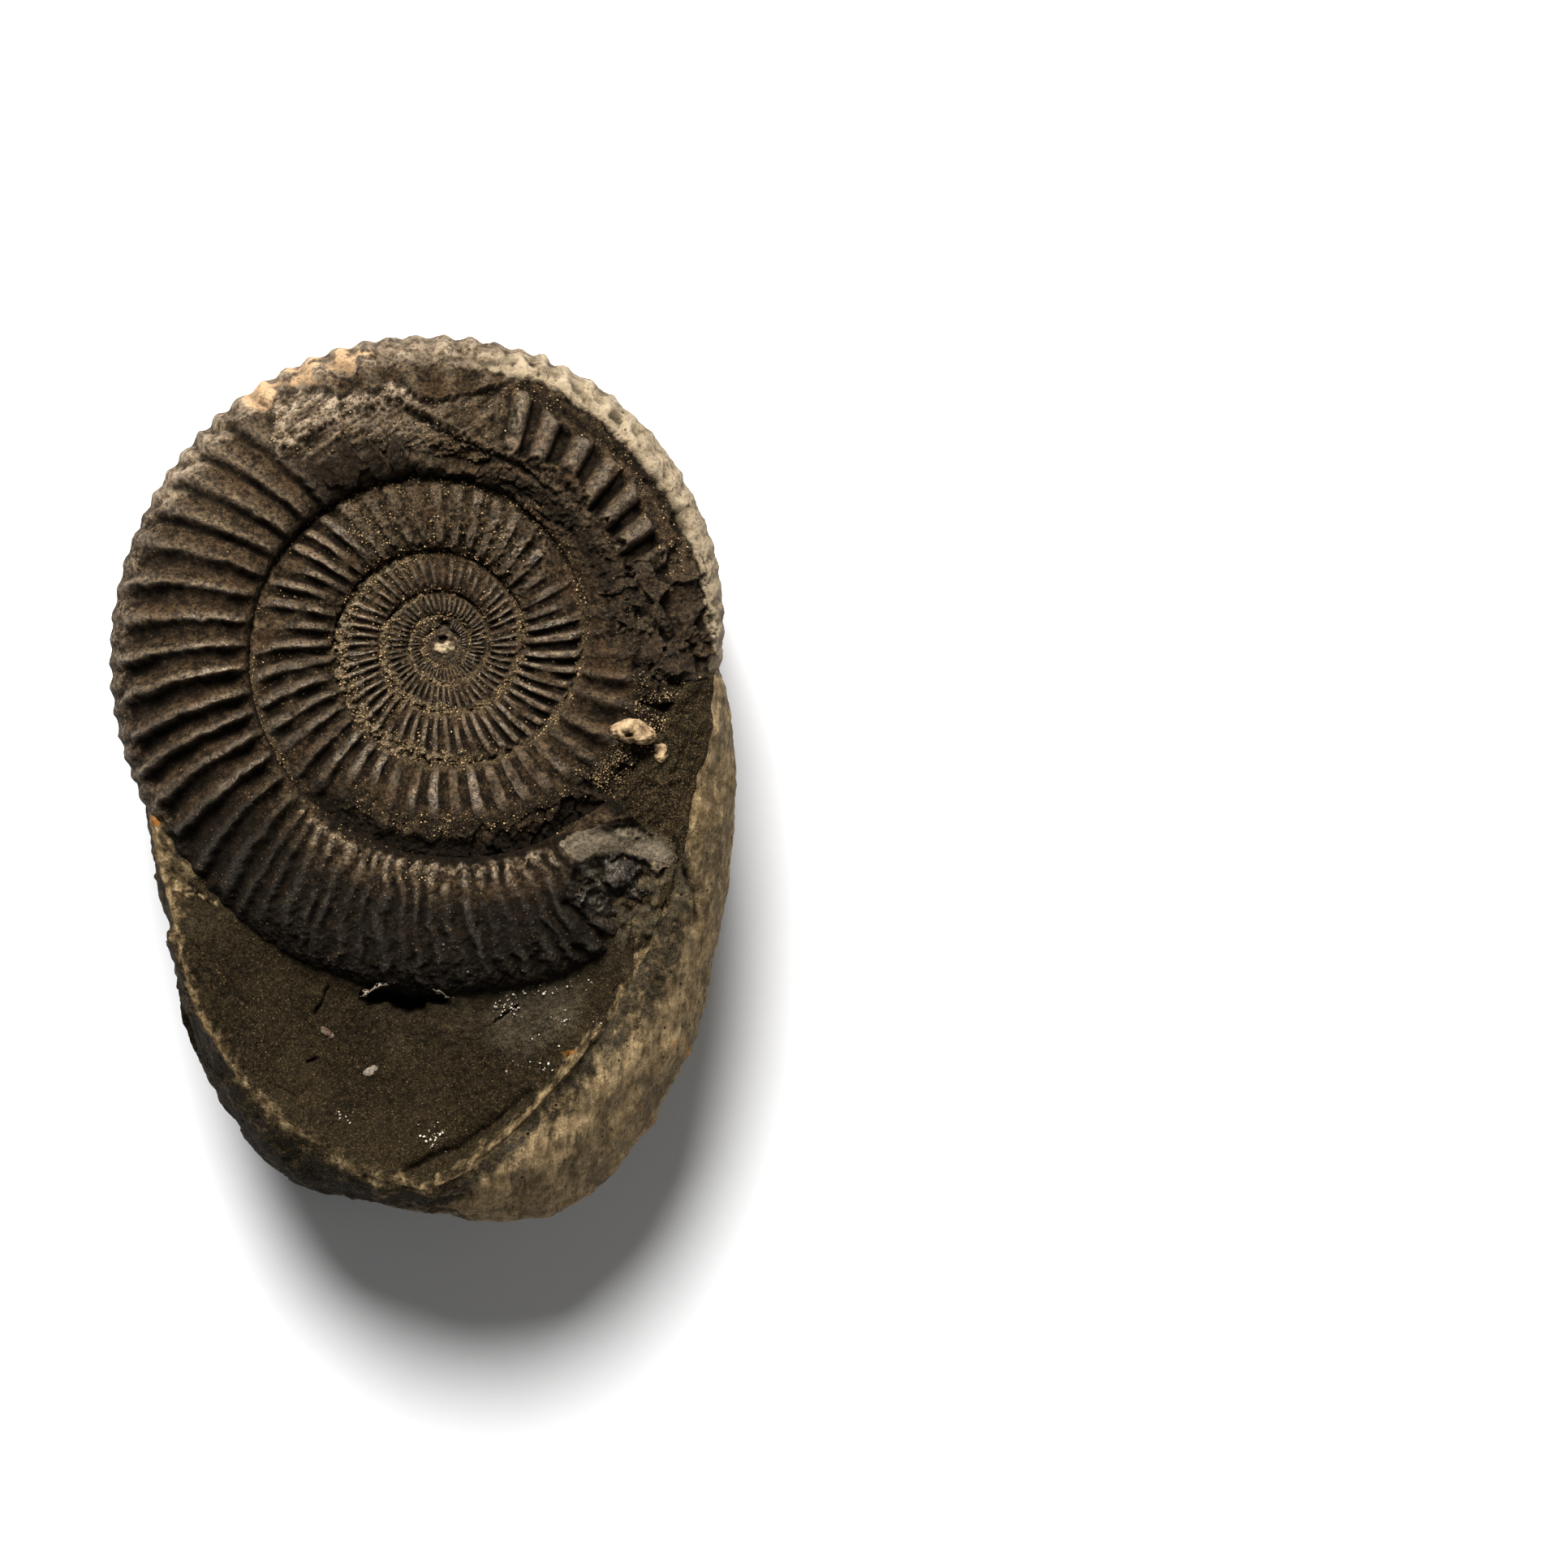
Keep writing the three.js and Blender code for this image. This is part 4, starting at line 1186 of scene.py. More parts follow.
    def strip(self, coil: Array, way: Array, sink: Array) -> Sheet:
        """Makes a strip of shell.

        Args:
            coil: coil angle of each column.
            way: degrees round the section of each row.
            sink: how far each column is pressed down, where another strip covers it.

        Returns:
            The carved strip.
        """
        share, radius, height = self.coil.section(coil, way)
        angles = np.broadcast_to(coil[:, None], radius.shape)
        sheet = Sheet(self.coil.polar(angles, radius, height))
        normals = sheet.normals().reshape(-1, 3)
        flat = sheet.points.reshape(-1, 3)
        ways = np.broadcast_to(way, radius.shape).ravel()
        reach = np.where(ways > 180, 2 - share.ravel(), share.ravel())
        move, sheet.masks = self.relief(flat, angles.ravel(), reach, ways)
        grid = move.reshape(radius.shape)
        # painted shade where the carved surface lies below its blurred surroundings; where it stands above
        # them it gets a little of the wear colour
        for spread, depth in ((2, 0.14), (6, 0.4)):
            stands = ((grid - blur(grid, spread)) / depth).ravel()
            sheet.masks["deep_shade"] = np.maximum(sheet.masks["deep_shade"], np.clip(-stands, 0, 0.9))
            sheet.masks["worn"] = sheet.masks["worn"] + 0.07 * np.clip(stands, 0, 1)
        moved = flat + normals * move[:, None]
        sheet.points = moved.reshape(sheet.points.shape)
        sheet.points[:, :, 2] -= sink[:, None]
        return sheet

    def build(self) -> list[tuple[str, Sheet]]:
        """Builds both strips.

        Returns:
            A name and a sheet for each.
        """
        start, end = self.coil.start, self.coil.break_angle
        coil = np.linspace(start - 1.5, end, self.last_columns)
        visible = self.last_rows - 10
        inward = round(visible * 0.3)
        way = np.concatenate([np.linspace(-22, 90, inward, endpoint=False),
                              np.linspace(90, 190, visible - inward, endpoint=False),
                              np.linspace(190, 215, 10)])
        last = self.strip(coil, way, 0.3 * smooth(start, start - 1, coil))
        foot = self.coil.polar(coil, self.coil.venter(coil) * self.coil.foot[0],
                               self.coil.middle_plane - self.coil.foot[1])
        last.points = np.concatenate([last.points, foot[:, None, :]], axis=1)
        wall = last.points[-1].copy()
        wall[:, 2] = np.minimum(wall[:, 2], self.wall_foot)
        last.points = np.concatenate([last.points, wall[None]])
        for name, values in last.masks.items():
            grid = values.reshape(self.last_columns, self.last_rows)
            last.masks[name] = np.pad(grid, ((0, 1), (0, 1)), mode="edge")

        along = np.linspace(start - TURN * self.inner_whorls, start + 3, self.travel_steps)
        seams = self.coil.seam(along)
        radii = np.linspace(seams[0], seams[-1], self.travel_steps)
        angles = np.interp(radii, seams, along)
        travel = np.concatenate([[0], np.cumsum(np.diff(angles) * (radii[1:] + 1.5))])
        coil = np.interp(np.linspace(0, travel[-1], self.inner_columns), travel, angles)
        way = np.concatenate([np.linspace(-22, 90, 15, endpoint=False),
                              np.linspace(90, 139, self.inner_rows - 15)])
        inner = self.strip(coil, way, 0.35 * smooth(start, start + 1, coil))
        return [("last_whorl", last), ("inner_whorls", inner)]

    def dress(self) -> list[Sheet]:
        """Makes the pieces and gives them their finish.

        Returns:
            The sheet of each piece.
        """
        material = self.finish.material()
        made = []
        for name, sheet in self.build():
            normals = sheet.normals()
            columns, rows = sheet.points.shape[:2]
            middle = columns // 2
            for half, span in (("first", slice(0, middle + 1)), ("second", slice(middle, None))):
                masks = {key: values.reshape(columns, rows)[span].ravel()
                         for key, values in sheet.masks.items()}
                part = Sheet(sheet.points[span], masks)
                piece = make_mesh(f"{name}_{half}_half", part.points.reshape(-1, 3), [part.faces(flip=True)],
                                  masks, normals[span].reshape(-1, 3))
                place(piece, material, Slot.SHELL, Node.SHELL)
                made.append(part)
        return made


def on_ring(points: list[Triple], angle: Array) -> tuple[Array, Array]:
    """Reads a smooth closed line round the shell's centre.

    Args:
        points: its angles, radii and heights.
        angle: where it is read.

    Returns:
        Radius and height at each angle.
    """
    ring = np.array(points)
    ring = np.concatenate([ring - (TURN, 0, 0), ring, ring + (TURN, 0, 0)])
    turned = np.asarray(angle) % TURN
    i = np.searchsorted(ring[:, 0], turned, side="right") - 1
    p0, p1, p2, p3 = (ring[i + k] for k in (-1, 0, 1, 2))
    width = p2[:, 0] - p1[:, 0]
    s = (turned - p1[:, 0]) / width
    result = []
    for k in (1, 2):
        slope1 = (p2[:, k] - p0[:, k]) / (p2[:, 0] - p0[:, 0]) * width
        slope2 = (p3[:, k] - p1[:, k]) / (p3[:, 0] - p1[:, 0]) * width
        result.append((2 * s**3 - 3 * s**2 + 1) * p1[:, k] + (s**3 - 2 * s**2 + s) * slope1
                      + (3 * s**2 - 2 * s**3) * p2[:, k] + (s**3 - s**2) * slope2)
    return result[0], result[1]


# Edge of the rock's upper face round its open part, and the widest line below it: angle, radius, height
RIM = [(208, 42.0, 34.2), (217, 44.2, 35.2), (225, 47.4, 35.4), (238, 55.6, 35.0), (251, 61.6, 34.2),
       (266, 67.0, 33.6), (272, 65.4, 34.4), (279, 60.4, 35.2), (286.5, 55.2, 35.6), (293, 51.2, 35.8),
       (300, 47.0, 36.0), (309, 43.2, 36.4), (328, 36.2, 37.0), (341, 34.9, 36.8), (351, 33.8, 35.4)]
BULGE = [(208, 42.6, 27), (217, 45.0, 27), (229, 51.4, 26), (240, 60.2, 25), (252, 68.2, 24), (266, 69.8, 23),
         (278, 72.2, 23), (287, 68.8, 23), (298, 60.8, 24), (312, 50.4, 25), (330, 41.2, 26), (346, 36.6, 26),
         (356, 34.4, 26)]

# Steps, cracks and scratches of the upper face, then its pits: the first three are the hole under the shell
FACE_STROKES = [
    Stroke([(-1.8, -48.4), (4.6, -45.6), (10.0, -41.8), (13.2, -39.0)], 0.8, -1.2),
    Stroke([(-31.0, -7.5), (-24.0, -13.0)], 3.0, 0.8),
    Stroke([(-11.7, -25.5), (-12.3, -27.4), (-13.4, -28.8)], 0.15, -1.2),
    Stroke([(12.0, -27.8), (10.6, -28.6), (9.0, -30.0)], 0.14, -0.8),
    Stroke([(-14.1, -34.8), (-12.9, -34.4)], 0.16, -0.9),
    Stroke([(-26.0, -21.8), (-24.2, -24.6), (-21.8, -27.8)], 0.4, -0.3),
    Stroke([(-28.8, -13.8), (-27.0, -14.0), (-25.8, -15.8)], 0.2, -0.4),
    Stroke([(31.3, -7.4), (32.2, -10.7), (33.6, -13.8), (33.9, -17.3)], 0.3, -0.8),
    Stroke([(-18.8, -37.3), (-17.2, -38.2), (-15.3, -39.3), (-14.2, -38.2)], 0.3, -0.35),
]
FACE_HOLLOWS = [
    Hollow((-5.2, -26.2), (2.4, 1.2), 15, -4.0, 2.2),
    Hollow((-2.0, -26.8), (2.6, 1.7), -10, -5.0, 2.2),
    Hollow((1.4, -26.2), (2.0, 1.1), -20, -3.5, 2.2),
    Hollow((-17.2, -38.6), (2.2, 1.6), -40, -0.35, 1.0),
    Hollow((20.2, -39.8), (0.35, 0.9), -20, -1.2, 2.0),
]
SIDE_CRACK = Stroke([(31.5, -7.6), (32.3, -10.7), (33.7, -13.8), (34.0, -17.3)], 0.3)
ROUGH_SIDE = [(27.0, -8.0), (33.0, -8.0), (33.5, -16.0), (32.5, -22.0), (28.0, -30.5), (23.0, -35.0),
              (18.0, -41.5), (11.0, -47.0), (3.0, -52.0), (-4.0, -52.0), (-4.0, -40.0), (10.0, -30.0)]
RIDGE = [(3.5, -50.0), (9.0, -45.4), (14.5, -40.4), (18.4, -35.4), (21.5, -31.5)]
TAN_VEINS = [
    Stroke([(-26.0, -21.8), (-24.2, -24.6), (-21.8, -27.8)], 0.5),
    Stroke([(-29.5, -13.2), (-25.0, -15.0)], 0.5),
]
RUST_SPOTS = [
    Hollow((18.2, -33.5), (1.1, 0.7), 20, 1, 1.2),
    Hollow((-32.8, -4.8), (1.3, 1.0), 0, 1, 1.2),
]


@dataclass
class Rock:
    """The mudstone: its open upper face, and its rounded outside."""

    coil: Coil = COIL
    open_step: float = 0.27
    tucked_step: float = 1.6
    tucked_radius: float = 36.0
    tucked_height: float = 29.8
    tucked_widest: float = 20.0
    face_rows: int = 104
    side_rows: int = 92
    upper_share: float = 0.42
    base_share: float = 0.68
    edge: float = 0.45
    lap_from: float = -4.0
    lap_share: float = 0.785
    inner_part: float = 0.07
    facet_sink: float = 0.14
    finish: RockFinish = RockFinish()

    def columns(self) -> Array:
        """Spaces the columns evenly along the rim, closer where the face is open."""
        angles, angle = [], self.coil.start + 0.4
        while angle < self.coil.break_angle + 0.2:
            angles.append(angle)
            turned = angle % TURN
            if 8 < turned < 196:
                angle += math.degrees(self.tucked_step / self.tucked_radius)
            else:
                angle += math.degrees(self.open_step / on_ring(RIM, np.array([turned]))[0][0])
        return np.array(angles)

    def open_share(self, angle: Array) -> Array:
        """Is 1 where the upper face lies open, 0 where the shell reaches the nodule's edge."""
        turned = angle % TURN
        return smooth(205, 211, turned) * smooth(360, 352, turned)

    def rim(self, angle: Array) -> tuple[Array, Array]:
        """Gives the edge between the upper face and the side, with its small chips.

        Args:
            angle: where it is read.

        Returns:
            Radius and height.
        """
        radius, height = on_ring(RIM, angle)
        open_share = self.open_share(angle)
        venter = self.coil.venter(angle)
        radius = mix(venter - 0.8, radius, open_share)
        height = mix(self.tucked_height, height, open_share)
        places = self.coil.polar(angle, radius, height)
        chips = 0.35 * NOISE.rough(places, 3.5, 4) + 0.3 * np.minimum(0, OTHER_NOISE.at(places, 1.6))
        return radius + chips * open_share, height + 0.3 * OTHER_NOISE.rough(places, 4.0, 4) * open_share

    def upper_face(self, angle: Array) -> Sheet:
        """Makes the face from under the shell out to the rim.

        Args:
            angle: angle of each column.

        Returns:
            The carved sheet.
        """
        turned, open_share = angle % TURN, self.open_share(angle)
        venter = self.coil.venter(angle)
        rim_radius, rim_height = self.rim(angle)
        rise = mix(2.6, 1.2, smooth(222, 245, turned)) + 1.6 * smooth(285, 305, turned)
        lap = np.maximum(smooth(self.lap_from, self.lap_from - 9, angle), smooth(297, 303, angle))
        lapped = np.where(angle > 200, angle - TURN, angle)
        lap_radius = mix(self.coil.seam(lapped - TURN), self.coil.venter(lapped), self.lap_share)
        lap_height = self.coil.flank(lapped, self.lap_share) + 0.25
        contact_radius = mix(mix(venter - 3.0, venter * 0.995, open_share), lap_radius, lap)
        contact_height = mix(mix(self.tucked_height - 0.4, self.coil.middle_plane + rise, open_share),
                             lap_height, lap)
        inner_radius = contact_radius - mix(2.0, 1.2, lap)
        inner_height = contact_height - mix(0.2, 1.3, lap)

        outward = np.linspace(0, 1, self.face_rows) ** 0.92
        share = np.clip((outward - self.inner_part) / (1 - self.inner_part), 0, 1)[None, :]
        first = np.clip(outward / self.inner_part, 0, 1)[None, :]
        dip = 1.6 * smooth(228, 245, turned) * smooth(300, 285, turned)
        radius, height = (np.where(first < 1, mix(tucked[:, None], contact[:, None], first),
                                   mix(contact[:, None], outer[:, None], share))
                          for tucked, contact, outer in ((inner_radius, contact_radius, rim_radius),
                                                         (inner_height, contact_height, rim_height)))
        height -= (first >= 1) * dip[:, None] * np.sin(np.pi * share)
        shape = radius.shape
        points = self.coil.polar(np.broadcast_to(angle[:, None], shape), radius, height).reshape(-1, 3)
        around, open_flat = down(turned, shape), down(open_share, shape)
        reach = np.broadcast_to(share, shape).ravel()
        free = smooth(0, 0.06, reach) * smooth(1.0, 0.95, reach) * open_flat
        to_rim = (rim_radius[:, None] - radius).ravel()

        xy = points[:, :2]
        small, tiny, broad = NOISE.at(points, 1.1), OTHER_NOISE.at(points, 0.5), NOISE.rough(points, 7.0, 4)
        crags = OTHER_NOISE.crags(points, 2.4) - 0.6
        wander = xy + 0.3 * beside(small, OTHER_NOISE.at(points, 1.2))
        flake = NOISE.plates(points + 0.4 * small[:, None], 2.2)
        left_band = smooth(4.8, 2.4, to_rim + 1.2 * small) * within(207, 240, 8, around)
        low_rim = within(243, 278, 6, around)
        rim_band = smooth(1.3 + 1.2 * low_rim, 0.2, to_rim + 0.6 * small + 0.4 * tiny)
        rim_band *= within(207, 300, 6, around) * (1 - 0.5 * within(270, 320, 4, around))
        lip = within(264, 289, 7, around) * smooth(2.2, 0.3, to_rim + 0.3 * small + 0.2 * tiny)
        matrix_zone = smooth(313, 322, around)
        right_rough = smooth(294, 304, around) * (1 - matrix_zone)
        lit_corner = within(268, 300, 8, around) * smooth(1.8, 0.5, to_rim + 0.8 * small + 0.5 * tiny)
        rough_part = np.clip(left_band + right_rough + matrix_zone + 0.7 * lit_corner + 0.6 * rim_band, 0, 1)
        ridge = Stroke(RIDGE, 1.5).weight(wander)
        in_facet = inside(wander, FACET_OUTLINE, 0.2)
        pockets = highest(*(pocket.weight(wander) for pocket in SEAM_POCKETS)) * (1 - in_facet)
        rough_end = np.maximum(right_rough, inside(wander, ROUGH_END, 1.2))
        move = 0.2 * broad + 0.05 * small + 0.05 * tiny + 0.05 * NOISE.rough(points, 0.9, 2, 0.8)
        move += 0.8 * rough_end * flake[2] + ridge * (1.0 + 0.3 * small + 0.6 * crags)
        move += rough_part * (0.9 * crags + 0.2 * small + 0.15 * tiny)
        for mark in FACE_STROKES + FACE_HOLLOWS:
            move += mark.rise * mark.weight(wander)
        points[:, 2] += move * free + lip * open_flat
        points[:, 2] = mix(points[:, 2], facet_height(xy) - self.facet_sink + 0.03 * small, in_facet * free)

        hole = highest(*(pit.weight(wander) for pit in FACE_HOLLOWS[:3]))
        mottled = np.clip(0.35 + 0.8 * NOISE.rough(points, 1.8, 5, 0.7), 0, 1)
        tan = 0.22 * left_band + rim_band * (0.44 - 0.13 * low_rim) * (0.3 + 0.9 * mottled)
        tan += 0.62 * right_rough * mottled + (0.2 * lit_corner + 0.5 * ridge) * (0.3 + mottled)
        tan = np.where(around > 262, np.minimum(tan, 0.44), tan)
        tan += 0.35 * sum(vein.weight(wander) for vein in TAN_VEINS) * np.clip(0.5 + 2 * tiny, 0, 1)
        tan += 0.10 * within(250, 292, 8, around) * smooth(0.3, 0.7, reach)
        tan += 0.15 * smooth(0.25, 0.0, reach) * within(225, 262, 10, around)
        tan += 0.2 * within(208, 222, 5, around)
        grey_patch = Hollow((14.2, -30.0), (7.0, 5.4), 25, 1, 0.8).weight(wander)
        masks = {
            "tan": tan * open_flat,
            "brown": np.clip(1.1 * left_band + 1.1 * rim_band + 0.6 * ridge + 0.4 * right_rough, 0, 1),
            "grey": 0.1 + 0.3 * within(262, 300, 14, around) * smooth(0.7, 0.1, reach) + 0.9 * grey_patch
            + in_facet + 0.2 * within(208, 232, 8, around) + 0.15 * matrix_zone
            + 0.5 * right_rough * (broad > 0.1),
            # painted highlight: a thin pale line along the lower-left rim edge
            "pale": 0.15 * smooth(0.5, 0.1, to_rim + 0.4 * tiny) * within(207, 262, 6, around)
            * smooth(-0.1, 0.4, small),
            "rust": 0.6 * sum(spot.weight(wander) for spot in RUST_SPOTS),
            # painted shade: the hole under the shell, thin cracks and the seam pockets are darkened, and the
            # matrix zone darker still
            "deep_shade": highest(hole, sum(mark.weight(wander) for mark in FACE_STROKES[2:5]), pockets,
                            0.55 * matrix_zone * (0.6 + small)),
            "sand": matrix_zone + 0.35 * right_rough,
        }
        return Sheet(points.reshape(*shape, 3), masks)

    def side(self, angle: Array, rim_row: Array) -> Sheet:
        """Makes the outside from the rim down to the base.

        Args:
            angle: angle of each column.
            rim_row: the upper face's own edge, which it starts from.

        Returns:
            The carved sheet.
        """
        turned, open_share = angle % TURN, self.open_share(angle)
        rim_radius = np.hypot(*(rim_row[:, :2] - np.array(self.coil.centre)).T)[:, None]
        rim_height = rim_row[:, 2][:, None]
        widest, widest_height = on_ring(BULGE, angle)
        widest = mix(self.coil.venter(angle) - 0.5, widest, open_share)[:, None]
        widest_height = mix(self.tucked_widest, widest_height, open_share)[:, None]
        upper_rows = round(self.side_rows * self.upper_share)
        upper = np.radians(np.linspace(0, 90, upper_rows, endpoint=False))[None, :]
        lower = np.radians(np.linspace(0, 90, self.side_rows - upper_rows))[None, :]
        flat_way = upper / (np.pi / 2)
        outward, upward = mix(np.sin(upper), flat_way, self.edge), mix(np.cos(upper), 1 - flat_way, self.edge)
        radius = np.concatenate([mix(rim_radius, widest, outward),
                                 mix(widest * self.base_share, widest, np.cos(lower))], axis=1)
        height = np.concatenate([mix(widest_height, rim_height, upward),
                                 widest_height * (1 - np.sin(lower))], axis=1)
        shape = radius.shape
        sheet = Sheet(self.coil.polar(np.broadcast_to(angle[:, None], shape), radius, height))
        normals = sheet.normals().reshape(-1, 3)
        points = sheet.points.reshape(-1, 3)
        row = np.broadcast_to(np.linspace(0, 1, self.side_rows), shape).ravel()
        around, open_flat = down(turned, shape), down(open_share, shape)

        small, tiny = NOISE.at(points / (1.0, 1.0, 2.2), 1.2), OTHER_NOISE.at(points, 0.6)
        broad, crags = NOISE.rough(points, 9.0, 5), OTHER_NOISE.crags(points, 5.0) - 0.6
        facets = OTHER_NOISE.plates(points + 0.8 * small[:, None], 9.0)[0]
        lower_left = within(222, 268, 8, around)
        move = 0.75 * broad + 0.10 * small + 0.05 * tiny + 0.5 * crags
        move += lower_left * (0.9 * (facets - 0.5) + 0.2 * crags)
        move -= 0.8 * SIDE_CRACK.weight(points[:, :2] + 0.2 * small[:, None])
        move *= smooth(0, 0.07, row) * smooth(1.0, 0.93, row)
        points = points + normals * move[:, None]
        points[:, 2] = np.maximum(points[:, 2], 0)

        drift = around + 9 * broad + 5 * small
        right = np.clip(within(276, 360, 12, drift) + smooth(16, 2, drift), 0, 1)
        # the top of the side under the rim is made lighter: a painted highlight on the rim's edge
        upper_edge = smooth(0.08, 0.0, row) * open_flat * (1 - right)
        mottled = np.clip(0.42 + 1.1 * NOISE.rough(points, 2.2, 5, 0.7), 0, 1)
        upper_right = within(315, 333, 5, around) * smooth(0.6, 0.2, row)
        rough_top = inside(points[:, :2] + 0.8 * small[:, None], ROUGH_SIDE, 2.5)
        wall_tan = mix(0.72 + 0.28 * mottled, 0.12 + 0.45 * mottled, rough_top) * (1 - 0.32 * upper_right)
        masks = {
            "tan": right * wall_tan + 0.3 * (1 - right) + 0.2 * upper_edge
            + lower_left * (0.3 * mottled - 0.22),
            "brown": 0.25 + 0.75 * upper_right + lower_left,
            "grey": (0.3 + 0.3 * (broad > 0.2) + 0.5 * rough_top * (1 - mottled)) * (1 - 0.9 * lower_left),
            "pale": 0.15 * upper_edge,
            "rust": 0.3 * within(285, 300, 6, around) * smooth(0.2, 0.3, row) * smooth(0.6, 0.45, row)
            * (broad > 0.1),
            # painted shade in the crack on the side
            "deep_shade": SIDE_CRACK.weight(points[:, :2]) * smooth(0.2, 0.05, row),
            "streak": 0.35 + 0.65 * right,
            "sand": np.full(len(row), 0.1),
        }
        return Sheet(points.reshape(*shape, 3), masks)

    def dress(self) -> Sheet:
        """Makes both pieces and gives them their finish.

        Returns:
            The upper face, for what lies on it.
        """
        angle = self.columns()
        face = self.upper_face(angle)
        side = self.side(angle, face.points[:, -1])
        points = side.points.reshape(-1, 3)
        middle = len(points)
        last = np.arange(len(angle)) * self.side_rows + self.side_rows - 1
        fan = beside(np.full(len(angle), middle), np.roll(last, -1), last)
        masks = {key: np.append(values, 0.3) for key, values in side.masks.items()}
        material = self.finish.material()
        upper = make_mesh("nodule_face", face.points.reshape(-1, 3), [face.faces(True, True)], face.masks)
        outside = make_mesh("nodule_outside", np.append(points, [[0, 0, 0]], axis=0),
                            [side.faces(True, True), fan], masks)
        for piece in (upper, outside):
            place(piece, material, Slot.MUDSTONE, Node.ROCK)
        return face


@dataclass
class Grains:
    """Loose sand caught in the shell's hollows."""

    count: int = 20500
    sizes: Point = (0.04, 0.17)
    seed: int = 5
    finish: GrainFinish = GrainFinish("sand_finish", (0.40, 0.285, 0.155), (0.05, 0.033, 0.018), 0.8)

    def build(self, seats: Array, normals: Array, sizes: Array,
              draw: np.random.Generator) -> bpy.types.Object:
        """Makes one mesh of many small uneven stones.

        Args:
            seats: where they sit, one a row.
            normals: straight out of the surface at each.
            sizes: their radii.
            draw: the source of chance.

        Returns:
            The object.
        """
        corners = np.array([[1, 0, 0], [-1, 0, 0], [0, 1, 0], [0, -1, 0], [0, 0, 1], [0, 0, -1]], float)
        triangles = np.array([[0, 2, 4], [2, 1, 4], [1, 3, 4], [3, 0, 4],
                              [2, 0, 5], [1, 2, 5], [3, 1, 5], [0, 3, 5]])
        turns, _ = np.linalg.qr(draw.normal(size=(len(seats), 3, 3)))
        turns *= np.sign(np.linalg.det(turns))[:, None, None]
        stretch = draw.uniform(0.6, 1.4, (len(seats), 6, 1))
        stones = np.einsum("nij,nkj->nki", turns, corners * stretch) * sizes[:, None, None]
        points = (stones + (seats + normals * sizes[:, None] * 0.35)[:, None, :]).reshape(-1, 3)
        faces = (triangles[None] + 6 * np.arange(len(seats))[:, None, None]).reshape(-1, 3)
        return make_mesh("sand_grains", points, [faces], {"shade": np.repeat(draw.random(len(seats)), 6)})

    def dress(self, sheets: list[Sheet]) -> bpy.types.Object:
        """Scatters sand where the shell's sand mask is high.

        Args:
            sheets: the shell's sheets.

        Returns:
            The sand.
        """
        draw = np.random.default_rng(self.seed)
        points, normals, weights = [], [], []
        for sheet in sheets:
            flat, out = sheet.points.reshape(-1, 3), sheet.normals().reshape(-1, 3)
            area = np.linalg.norm(np.cross(*np.gradient(sheet.points, axis=(0, 1))), axis=2).ravel()
            clumps = smooth(-0.15, 0.45, NOISE.rough(flat, 2.2, 3))
            weight = np.clip(sheet.masks["sand"] - 0.15, 0, 1.2) ** 2 * (0.08 + clumps) * area
            points.append(flat)
            normals.append(out)
            weights.append(weight * (np.abs(out[:, 2]) > 0.35))
        points, normals, weights = (np.concatenate(part) for part in (points, normals, weights))
        chosen = draw.choice(len(points), self.count, replace=False, p=weights / weights.sum())
        seats = points[chosen] + draw.normal(0, 0.08, (self.count, 3))
        up = normals[chosen] * np.sign(normals[chosen][:, 2:])
        sizes = mix(*self.sizes, draw.random(self.count) ** 3)
        sand = self.build(seats, up, sizes, draw)
        return place(sand, self.finish.material(), Slot.SHELL, Node.SHELL)


# Loose chips on the rock: place, length, width, turn in degrees, lightness
CHIPS = [
    (-6.5, -35.9, 0.75, 0.6, 20, 0.22), (-5.8, -35.5, 0.6, 0.45, -35, 0.18),
    (-11.8, -31.0, 0.7, 0.4, -30, 0.08), (-11.2, -31.6, 0.4, 0.3, 60, 0.1),
    (-12.3, -30.6, 0.35, 0.2, 20, 0.05), (10.5, -35.9, 0.25, 0.2, 40, 0.3),
    (-10.1, -41.3, 0.25, 0.15, 0, 0.4),
]

# Sparkling calcite on the rock, pale specks made bright as painted glints: middle, reach and number of its
# specks
SPARKLES = [((10.6, -28.0), (1.8, 1.3), 46), ((13.2, -26.2), (3.6, 0.5), 16), ((17.5, -29.4), (2.6, 0.8), 14),
            ((1.2, -44.0), (2.2, 1.6), 30), ((-9.5, -41.5), (1.6, 1.0), 8), ((14.0, -33.5), (4.5, 2.5), 16),
            ((16.0, -24.8), (6.0, 1.0), 26)]

# Torn edge of shell over the dark hole under the lowest whorl: places of its flakes
TORN_EDGE = [(-7.2, -26.5), (-6.5, -26.0), (-5.8, -25.5), (-5.0, -25.1), (-4.2, -24.9), (-3.3, -25.0),
             (-2.3, -25.1), (-1.3, -25.1), (-0.3, -25.0), (0.7, -25.2), (1.6, -25.6), (2.5, -26.1),
             (3.1, -26.7)]


